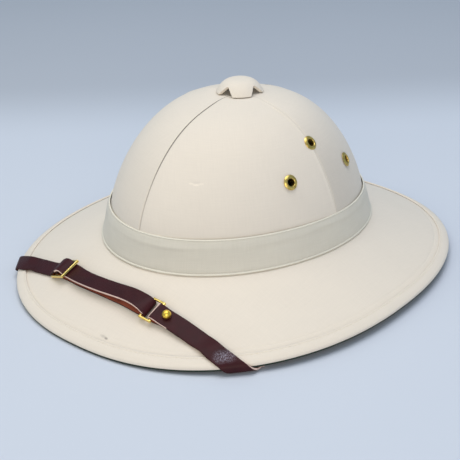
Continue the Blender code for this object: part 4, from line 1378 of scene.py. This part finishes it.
OVER_SLIDE = stations((
    (-47, 1.8, -0.6, 9), (-42, 1.4, 0, 7), (-38, 1.4, 0.3, 4), (-32, 1.3, 0.15, 1), (-26, 1.2, -0.2, -1),
    (-20, 1.2, -0.5, -2), (-15, 1.2, -0.6, -1), (-11.8, 1.8, -0.5, 0), (-9.8, 3.2, -0.4, 0),
    (-7.6, 4.5, -0.2, 0), (-4.6, 6.3, 0.1, -1), (-2, 7.4, 0.4, -2), (0.4, 7.75, 0.5, -3), (2.4, 7.3, 0.5, -3),
    (4.2, 5.85, 0.4, -3), (5.8, 4.3, 0.2, -3), (7.6, 3.6, 0, -4), (10, 3.4, -0.2, -6), (14, 3.6, -0.9, -9),
    (20, 4.0, -1.9, -12), (27, 4.2, -2.5, -14), (34, 4.35, -2.7, -15), (44, 4.5, -2.5, -16),
    (54, 4.85, -1.8, -17), (64, 5.4, -0.7, -16), (72, 6.1, 0.1, -14), (78, 6.5, 0.4, -13), (83, 6.7, 0.4, -10),
    (86, 6.7, 0.3, -6), (88.3, 6.05, 0.1, -3)))
UNDER_ARCH = stations(((12, 1.15, -0.9, 0), (20, 1.15, -1.8, 0), (30, 1.15, -2.25, 0), (45, 1.15, -2.25, 0),
                       (60, 1.15, -1.75, 0), (70, 1.15, -1.1, 0), (80, 1.15, -0.8, 0)))
PAST_STUD = stations((
    (8, 5.1, 0.2, -2), (12, 4.1, 0.3, -2), (14.3, 3.85, 0.4, -2), (20, 3.4, 0.7, -1), (28, 3.1, 0.8, 1),
    (33, 2.4, 1.0, 1), (38, 1.8, 1.2, 1), (44, 1.5, 1.2, 2), (48, 1.6, 0.9, 5), (52, 1.9, 0.3, 7),
    (56, 1.8, 0.1, 5)))
FOLDED_END = 28.0 * MM
FOLDED_ASIDE = 1.3 * MM


def fold_rows(origin, heading, bar, lift, radius, opens):
    """Half a turn round a bar, from the top layer to the lower one; opens is +1 or -1."""
    rows = []
    for i in range(FOLD_STEPS + 1):
        turn = pi / 2 - pi * i / FOLD_STEPS
        row = on_brim(origin, heading, bar + opens * radius * cos(turn), lift + radius * sin(turn))
        ahead = across_strap(row.grain, heading).cross(row.grain)
        rows.append(StrapRow(row.middle, ahead * (opens * cos(turn)) + row.grain * sin(turn)))
    return rows


def refine(rows, spacing):
    """Adds rows on a smooth curve where two lie further apart than spacing."""
    fine = []
    last = len(rows) - 1
    for i in range(last):
        before, start, end, after = rows[max(i - 1, 0)], rows[i], rows[i + 1], rows[min(i + 2, last)]
        reach = (end.middle - start.middle).length
        leave = (end.middle - before.middle).normalized() * reach
        arrive = (after.middle - start.middle).normalized() * reach
        pieces = max(1, round(reach / spacing))
        for j in range(pieces):
            t = j / pieces
            middle = (start.middle * (2 * t ** 3 - 3 * t ** 2 + 1) + leave * (t ** 3 - 2 * t ** 2 + t)
                      + end.middle * (3 * t ** 2 - 2 * t ** 3) + arrive * (t ** 3 - t ** 2))
            fine.append(StrapRow(middle, start.grain.lerp(end.grain, t).normalized(),
                                 start.along if j == 0 else None))
    return fine + [rows[last]]


# %% [markdown]
# ### The two parts from end to end
#
# The slide and the ring are placed in plan, and so are the crossings of the edge. Straight lines
# between those four places give the directions that the strap takes.

# %% The rows of both parts
SLIDE_PLACE = mm(-54.2, -130.3)
RING_PLACE = mm(38.3, -135.4)
SLIDE_BAR_PITCH = 8.3 * MM
RING_BAR_PITCH = 4.5 * MM
LEFT_CROSSING = radians(-130.6)    # where it reaches the top of the rolled edge
RIGHT_CROSSING = radians(-53.8)
TO_RING = (RING_PLACE - SLIDE_PLACE).normalized()
TO_LEFT = (edge_middle(LEFT_CROSSING).xy - SLIDE_PLACE).normalized()
TO_RIGHT = (edge_middle(RIGHT_CROSSING).xy - RING_PLACE).normalized()
RING_HEADING = (TO_RING + TO_RIGHT).normalized()
STRAP_SPACING = 2.2 * MM
BESIDE_FOLD = 14 * MM              # a row of the folded end between its tip and the ring


def turned_over(row):
    return StrapRow(row.middle, -row.grain)


def long_rows():
    slide_fold = fold_rows(SLIDE_PLACE, TO_RING, 0.0, sum(SLIDE_LIFTS) / 2, SLIDE_FOLD, -1)[1:]
    lower = [turned_over(on_brim(SLIDE_PLACE, TO_RING, *station)) for station in UNDER_ARCH]
    ring_fold = fold_rows(RING_PLACE, RING_HEADING, -RING_BAR_PITCH, RING_LIFTS[0], RING_FOLD, 1)[:2:-1]
    over_slide = [on_brim(SLIDE_PLACE, TO_RING if station.along > 0 else -TO_LEFT, *station)
                  for station in reversed(OVER_SLIDE)]
    wrap = wrap_rows(LEFT_CROSSING, TO_LEFT.to_3d())
    inner = refine(slide_fold + lower + ring_fold, STRAP_SPACING)
    outer = refine([ring_fold[-1]] + over_slide + wrap + hidden_rows(SIDES["right"]), STRAP_SPACING)
    return inner[:-1] + outer


def short_rows():
    lower = [turned_over(on_brim(RING_PLACE, TO_RIGHT, along, STRAP_LIFT, FOLDED_ASIDE))
             for along in (FOLDED_END, BESIDE_FOLD)]
    fold = fold_rows(RING_PLACE, RING_HEADING, RING_BAR_PITCH, RING_LIFTS[1], RING_FOLD, -1)[::-1]
    past_stud = [on_brim(RING_PLACE, TO_RIGHT, *station) for station in PAST_STUD]
    wrap = wrap_rows(RIGHT_CROSSING, TO_RIGHT.to_3d())
    return refine(lower + fold + past_stud + wrap + hidden_rows(SIDES["left"]), STRAP_SPACING)


def row_lengths(rows):
    return lengths_along([row.middle for row in rows])


LONG_ROWS, SHORT_ROWS = long_rows(), short_rows()
for part, rows in (("long", LONG_ROWS), ("short", SHORT_ROWS)):
    print(f"the {part} part is {row_lengths(rows)[-1] / MM:.0f} mm")

# %% [markdown]
# ### The leather itself
#
# The strap's section is a flat bar with softened corners, and its grain side is very slightly
# crowned, because the edges are pared. The section is a ring, so the same extrusion that made the
# hat carries it along the rows. Near the brim's edge it leans until it lies along the edge.

# %% The strap's section
SKEW_RAMP = 22.0 * MM              # length of strap in which the lean fades out
GRAIN, FLESH, EDGE, EDGE_DIRT_AND_SHADE = 0, 1, 2, 3
SectionSpot = namedtuple("SectionSpot", "across deep look")
STRAP_SECTION = [SectionSpot(across * MM, deep * MM, look) for across, deep, look in (
    (6.65, 0.3, EDGE), (6.6, 0.48, EDGE), (6.42, 0.64, GRAIN), (6.1, 0.71, GRAIN), (4.6, 0.75, GRAIN),
    (2.2, 0.77, GRAIN), (0.0, 0.78, GRAIN), (-2.2, 0.77, GRAIN), (-4.6, 0.75, GRAIN), (-6.1, 0.71, GRAIN),
    (-6.42, 0.64, EDGE), (-6.6, 0.48, EDGE), (-6.65, 0.3, EDGE), (-6.65, -0.5, EDGE), (-6.45, -0.7, FLESH),
    (-6.0, -0.75, FLESH), (0.0, -0.75, FLESH), (6.0, -0.75, FLESH), (6.45, -0.7, EDGE), (6.65, -0.5, EDGE))]


def section_leans(rows, tangents, acrosses):
    """How far each section leans along the strap, full at the edge and fading away from it."""
    travelled = row_lengths(rows)
    full = {i: row.along.dot(tangents[i]) / row.along.dot(acrosses[i])
            for i, row in enumerate(rows) if row.along}
    leans = []
    for here in travelled:
        nearest = min(full, key=lambda i: abs(travelled[i] - here))
        leans.append(full[nearest] * (1 - ease(abs(travelled[nearest] - here) / SKEW_RAMP)))
    return leans


def strap_sections(rows):
    last = len(rows) - 1
    tangents = [(rows[min(i + 1, last)].middle - rows[max(i - 1, 0)].middle).normalized()
                for i in range(last + 1)]
    grains = [(row.grain - tangent * row.grain.dot(tangent)).normalized()
              for row, tangent in zip(rows, tangents)]
    acrosses = [grain.cross(tangent) for grain, tangent in zip(grains, tangents)]
    leans = section_leans(rows, tangents, acrosses)
    for row, tangent, grain, across, lean in zip(rows, tangents, grains, acrosses, leans):
        aside = across + tangent * lean
        if row.along:
            aside = row.along * (aside.length if aside.dot(row.along) > 0 else -aside.length)
            grain = row.grain
        yield [row.middle + aside * spot.across + grain * spot.deep for spot in STRAP_SECTION]


def strap_look(column, travelled, bare, wear_and_sheen):
    look = STRAP_SECTION[column].look
    start, end = bare[0] if STRAP_SECTION[column].across < 0 else bare[1]
    # outside the bare stretches a cut edge is painted dark, for dirt and for the shade it lies in
    if look == EDGE and not start < travelled < end:
        return EDGE_DIRT_AND_SHADE
    # a pale line painted on the grain where it folds round the ring, partly wear and partly a painted highlight
    if look == GRAIN and wear_and_sheen[0] < travelled < wear_and_sheen[1]:
        return EDGE
    return look


def make_strap(name, rows, bare, wear_and_sheen=(0.0, 0.0)):
    """The bare stretches are where the two cut edges show pale; outside them the edges are painted dark, for
    dirt and for the shade they lie in. The last range is a pale line on the fold, partly wear and partly a
    painted highlight.
    """
    mesh = bmesh.new()
    rings = grow(mesh, list(strap_sections(rows)))
    lengths, address = row_lengths(rows), addresses(rings)
    for face in mesh.faces:
        of_rows, of_columns = zip(*(address[vert] for vert in face.verts))
        wrapped = max(of_columns) - min(of_columns) > 1
        travelled = sum(lengths[row] for row in of_rows) / len(of_rows)
        face.material_index = strap_look(max(of_columns) if wrapped else min(of_columns), travelled, bare, wear_and_sheen)
    # the cut ends take the same dark look of dirt and painted shade
    for ring in (rings[0], rings[-1]):
        for face in close(mesh, ring):
            face.material_index = EDGE_DIRT_AND_SHADE
    return finish_piece(name, mesh, [GRAIN_SIDE, FLESH_SIDE, CUT_EDGE, DIRTY_EDGE_IN_PAINTED_SHADE])


ARCH_BARE = (mm(0, 0), mm(100, 199))           # of the two edges, along the strap
SHORT_BARE = (mm(27, 46), mm(94, 122))
# the pale fold round the ring is partly wear and partly a painted highlight
SHORT_WEAR_AND_SHEEN = mm(28.3, 30.6)                    # where it is folded round the ring
long_strap = make_strap("chin_strap_long", LONG_ROWS, ARCH_BARE)
short_strap = make_strap("chin_strap_short", SHORT_ROWS, SHORT_BARE, SHORT_WEAR_AND_SHEEN)
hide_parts("strap_long")
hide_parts("strap_short")

# %% [markdown]
# ### Holes for the rivets and the stud
#
# The same cutter that opened the cover punches the leather, with other places.

# %% Punching the leather
STUD_FROM_RING = 12.9 * MM
STUD_ASIDE = 1.35 * MM
STUD_SHANK = 1.0 * MM
stud_row = on_brim(RING_PLACE, TO_RIGHT, STUD_FROM_RING, 0.0, STUD_ASIDE)


def rivet_hole(flip):
    return RIVET_PLACE * flip, AGAINST_WALL * flip, RIVET_SHANK + GAP, LEATHER_DRILL


cut_holes(long_strap, [rivet_hole(SIDES["right"])])
cut_holes(short_strap, [rivet_hole(SIDES["left"]),
                        (stud_row.middle, stud_row.grain, STUD_SHANK + GAP, STUD_DRILL)])

# %% [markdown]
# ## Brass on the strap
#
# The slide and the ring are cast frames of square bar, tumbled until every edge is round. A grid
# primitive already has the right pattern of faces: its lines are moved to the edges of the bars,
# the faces of the windows are deleted, the rest is extruded, and a bevel rounds it.

# %% The slide and the ring
FRAME_HALF_WIDTH = 9.0 * MM
FRAME_SIDE = 1.6 * MM
BUCKLE_ROUNDING = 0.52 * MM


def buckle_matrix(origin, heading, lifts, pitch):
    """Lays a buckle's own X along the strap and its Z away from the brim, with its bars at their lifts."""
    row = on_brim(origin, heading, 0.0, sum(lifts) / 2)
    across = across_strap(row.grain, heading)
    turn = turn_to(across.cross(row.grain), across, row.grain)
    tilt = atan2(lifts[1] - lifts[0], 2 * pitch)
    return Matrix.Translation(row.middle) @ turn @ Matrix.Rotation(-tilt, 4, "Y")


def make_buckle(name, bars, matrix):
    """bars lists the middles of the bars along the frame."""
    lines_x = [middle + side * BAR / 2 for middle in bars for side in (-1, 1)]
    opening = FRAME_HALF_WIDTH - FRAME_SIDE
    lines_y = [-FRAME_HALF_WIDTH, -opening, opening, FRAME_HALF_WIDTH]
    mesh = bmesh.new()
    bmesh.ops.create_grid(mesh, x_segments=len(lines_x) - 1, y_segments=3, size=1.0)
    for axis, lines in ((0, lines_x), (1, lines_y)):
        for vert in mesh.verts:
            vert.co[axis] = lines[round((vert.co[axis] + 1) / 2 * (len(lines) - 1))]
    windows = [face for face in mesh.faces if abs(face.calc_center_median().y) < BAR
               and all(abs(face.calc_center_median().x - bar) > BAR / 2 for bar in bars)]
    bmesh.ops.delete(mesh, geom=windows, context="FACES")
    raised = bmesh.ops.extrude_face_region(mesh, geom=list(mesh.faces))["geom"]
    bmesh.ops.translate(mesh, verts=[item for item in raised if isinstance(item, bmesh.types.BMVert)],
                        vec=Vector((0, 0, BAR)))
    bmesh.ops.translate(mesh, verts=mesh.verts, vec=Vector((0, 0, -BAR / 2)))
    bmesh.ops.recalc_face_normals(mesh, faces=mesh.faces)
    edges = [edge for edge in mesh.edges if edge.calc_face_angle(0) > radians(30)]
    bmesh.ops.bevel(mesh, geom=edges, offset=BUCKLE_ROUNDING, segments=4, profile=0.5, affect="EDGES",
                    material=-1)
    mesh.transform(matrix)
    return finish_piece(name, mesh, [BRASS])


slide = make_buckle("three_bar_slide", (-SLIDE_BAR_PITCH, 0.0, SLIDE_BAR_PITCH),
                    buckle_matrix(SLIDE_PLACE, TO_RING, SLIDE_LIFTS, SLIDE_BAR_PITCH))
strap_ring = make_buckle("rectangular_ring", (-RING_BAR_PITCH, RING_BAR_PITCH),
                         buckle_matrix(RING_PLACE, RING_HEADING, RING_LIFTS, RING_BAR_PITCH))
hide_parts("slide_buckle")
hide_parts("strap_ring")

# %% [markdown]
# The ball stud pushes through a slit in both layers of the short part. It is turned like the
# eyelets, and its poles close on the axis.

# %% The ball stud
STUD_BALL = 3.2 * MM
STUD_SEAT = 5.0 * MM
STUD_MIDDLE = STUD_SEAT + 1.9 * MM
STUD_FOOT = 0.7 * MM


def make_stud():
    profile = [(0.0, STUD_MIDDLE + STUD_BALL)]
    profile += [(STUD_BALL * cos(radians(turn)), STUD_MIDDLE + STUD_BALL * sin(radians(turn)))
                for turn in range(80, -26, -7)]
    profile += [(STUD_SHANK + 0.3 * MM, STUD_SEAT + 0.02 * MM), (STUD_SHANK, STUD_SEAT - 0.15 * MM),
                (STUD_SHANK, STUD_FOOT), (0.0, STUD_FOOT)]
    mesh = bmesh.new()
    turn_profile(mesh, profile, 32, closed=False)
    mesh.transform(upright_at(stud_row.middle, stud_row.grain))
    return finish_piece("strap_stud", mesh, [STUD_BRASS])


stud = make_stud()
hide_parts("ball_stud")

# %% [markdown]
# ## Stitches
#
# The binding is sewn on by machine. A stitch is a short thread that dips into the cloth at both
# ends, so a stretched little sphere with a few dozen faces is enough. They are all one mesh. The
# places come from walking along the line in equal steps, because the brim's curve isn't a circle
# and equal angles would crowd the stitches at its ends.

# %% Stitches in rows
STITCH_RADIUS = 0.22 * MM
STITCH_LIFT = 1.14 * MM
STITCH_SHARE = 0.72                # of the way between two needle holes


def even_walk(spot_at, start, end, pitch, samples=720):
    """Values from start to end that lie a pitch apart along a line of points."""
    values = [start + (end - start) * i / samples for i in range(samples + 1)]
    spots = [spot_at(value) for value in values]
    steps, travelled = [], 0.0
    for i in range(samples):
        reach = (spots[i + 1] - spots[i]).length
        while travelled <= reach:
            steps.append(values[i] + (values[i + 1] - values[i]) * travelled / reach)
            travelled += pitch
        travelled -= reach
    return steps


def sew(mesh, first, second, outward):
    """One stitch between two needle holes."""
    reach = (second - first).length
    middle = (first + second) / 2 + outward * STITCH_RADIUS * 0.3
    along = (second - first).normalized()
    aside = along.cross(outward).normalized()
    size = Matrix.Diagonal((STITCH_RADIUS * 1.3, STITCH_RADIUS, reach * STITCH_SHARE / 2, 1))
    bmesh.ops.create_uvsphere(mesh, u_segments=6, v_segments=5, radius=1.0, matrix=(
        Matrix.Translation(middle) @ turn_to(aside, aside.cross(along), along) @ size))


def sew_line(mesh, spot_at, outward_at, start, end, pitch):
    holes = even_walk(spot_at, start, end, pitch)
    for first, second in zip(holes, holes[1:]):
        sew(mesh, spot_at(first), spot_at(second), outward_at(first))
    return len(holes)


def stitch_at(angle):
    return brim_point(angle, 1 - STITCH_LINE / brim_width(angle), STITCH_LIFT)


def stitch_outward(angle):
    share = 1 - STITCH_LINE / brim_width(angle)
    return (brim_point(angle, share, 1 * MM) - brim_point(angle, share)).normalized()


binding_stitches = bmesh.new()
count = sew_line(binding_stitches, stitch_at, stitch_outward, -pi / 2, 3 * pi / 2, STITCH_PITCH)
finish_piece("binding_stitches", binding_stitches, [THREAD_COTTON])
print(count, "stitches round the brim")

# %% [markdown]
# The crown's seams are stitched beside the lap. Those stitches are small and pulled deep into the
# cloth, so that only their dots show.

# %% Stitches along the crown's seams
SEAM_STITCH_OUT = 2.5 * MM         # from the seam
SEAM_PITCH = 3.0 * MM
SEAM_DEGREES = (24.0, 89.0)
CROWN_MIDDLE = Vector((0, CROWN_AXIS_Y, 40 * MM))


def seam_line(number, side):
    """Points beside a seam, as a function of the degrees down from the summit."""
    def spot_at(degrees):
        share = crown_share(degrees)
        angle = seam_angles(share)[number]
        radius = oval_radius(crown_oval(share), angle)
        return crown_point(angle + side * SEAM_STITCH_OUT / radius, share)
    return spot_at


def sew_seams():
    mesh = bmesh.new()
    for number, side in ((0, -1), (1, -1), (2, 1), (3, 1)):
        spot_at = seam_line(number, side)
        sew_line(mesh, spot_at, lambda degrees: (spot_at(degrees) - CROWN_MIDDLE).normalized(),
                 *SEAM_DEGREES, SEAM_PITCH)
    finish_piece("seam_stitches", mesh, [THREAD_COTTON])


sew_seams()

# %% [markdown]
# ## Fixings that hardly show
#
# The ventilator's post and the two rivets inside the crown have the right shape already. They keep
# it, and take the steel from above in place of their plain material.

# %% Steel for the hidden fixings
for node_name in ("vent_post", "strap_rivet_left", "strap_rivet_right"):
    for material_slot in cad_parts[node_name].material_slots:
        material_slot.material = STEEL
    print(node_name, "is steel now")

# %% [markdown]
# ## The studio
#
# The photograph has a pale table that grows greyer towards the back, and soft light. The floor is
# one large disc in a matt pale blue grey. A big soft lamp hangs over the helmet, a weaker warm one
# stands at the left, a low warm one stands in front beside the camera, and a pale blue sky fills
# the shadows.

# %% Floor, lights and sky
FLOOR_RADIUS = 6.0
FLOOR_COLOUR = colour(205, 213, 226)
FLOOR_HEIGHT = -0.3 * MM
BACKWARD = Vector((-0.654, 0.756, 0))          # across the table, away from where the photo was taken
# painted shade: from here to there the table is darkened, as light falls off towards the back
PAINTED_SHADE_FROM, PAINTED_SHADE_TO = 0.27, 0.47              # how far back the table turns greyer
LOOK_AT = Vector((0, 0, 0.05))


def make_floor():
    made, tree, shader = new_material("pale_table", 0.85)
    where = add_node(tree, "TexCoord").outputs["Object"]
    clouds = use_group(tree, CLOUDS, {"Place": where, "Size": 0.25})["Shade"]
    depth = calculate_vector(tree, "DOT_PRODUCT", where, BACKWARD)
    # painted shade, up to about a quarter darker at the back of the table
    far = map_range(tree, depth, PAINTED_SHADE_FROM, PAINTED_SHADE_TO, interpolation_type="SMOOTHSTEP")
    set_inputs(tree, shader, {"Base Color": shade(tree, FLOOR_COLOUR, [(clouds, 0.02), (far, -0.24)])})
    mesh = bmesh.new()
    bmesh.ops.create_circle(mesh, cap_ends=True, segments=96, radius=FLOOR_RADIUS)
    floor = new_object("floor", mesh)
    floor.data.materials.append(made)
    floor.location.z = FLOOR_HEIGHT
    return floor


def add_lamp(name, spot, size, watts, tint):
    lamp = bpy.data.lights.new(name, "AREA")
    lamp.shape = "DISK"
    lamp.size, lamp.energy, lamp.color = size, watts, tint
    stand = bpy.data.objects.new(name, lamp)
    stand.matrix_world = upright_at(spot, spot - LOOK_AT)
    bpy.context.scene.collection.objects.link(stand)


make_floor()
add_lamp("overhead_lamp", Vector((0.0, 0.0, 1.7)), 1.4, 16.4, (1.0, 0.957, 0.951))
add_lamp("left_lamp", Vector((-0.77, -0.8, 1.35)), 1.2, 4.3, (1.0, 0.87, 0.58))
add_lamp("front_lamp", Vector((1.11, -1.29, 0.45)), 0.9, 10.0, (1.0, 0.84, 0.65))

world = bpy.data.worlds.new("studio")
world.use_nodes = True
set_inputs(world.node_tree, world.node_tree.nodes["Background"], {"Color": (0.65, 0.83, 1.0, 1.0),
                                                                  "Strength": 0.44})
bpy.context.scene.world = world
bpy.context.scene.view_settings.view_transform = "Standard"
print("floor, three lamps and a sky")
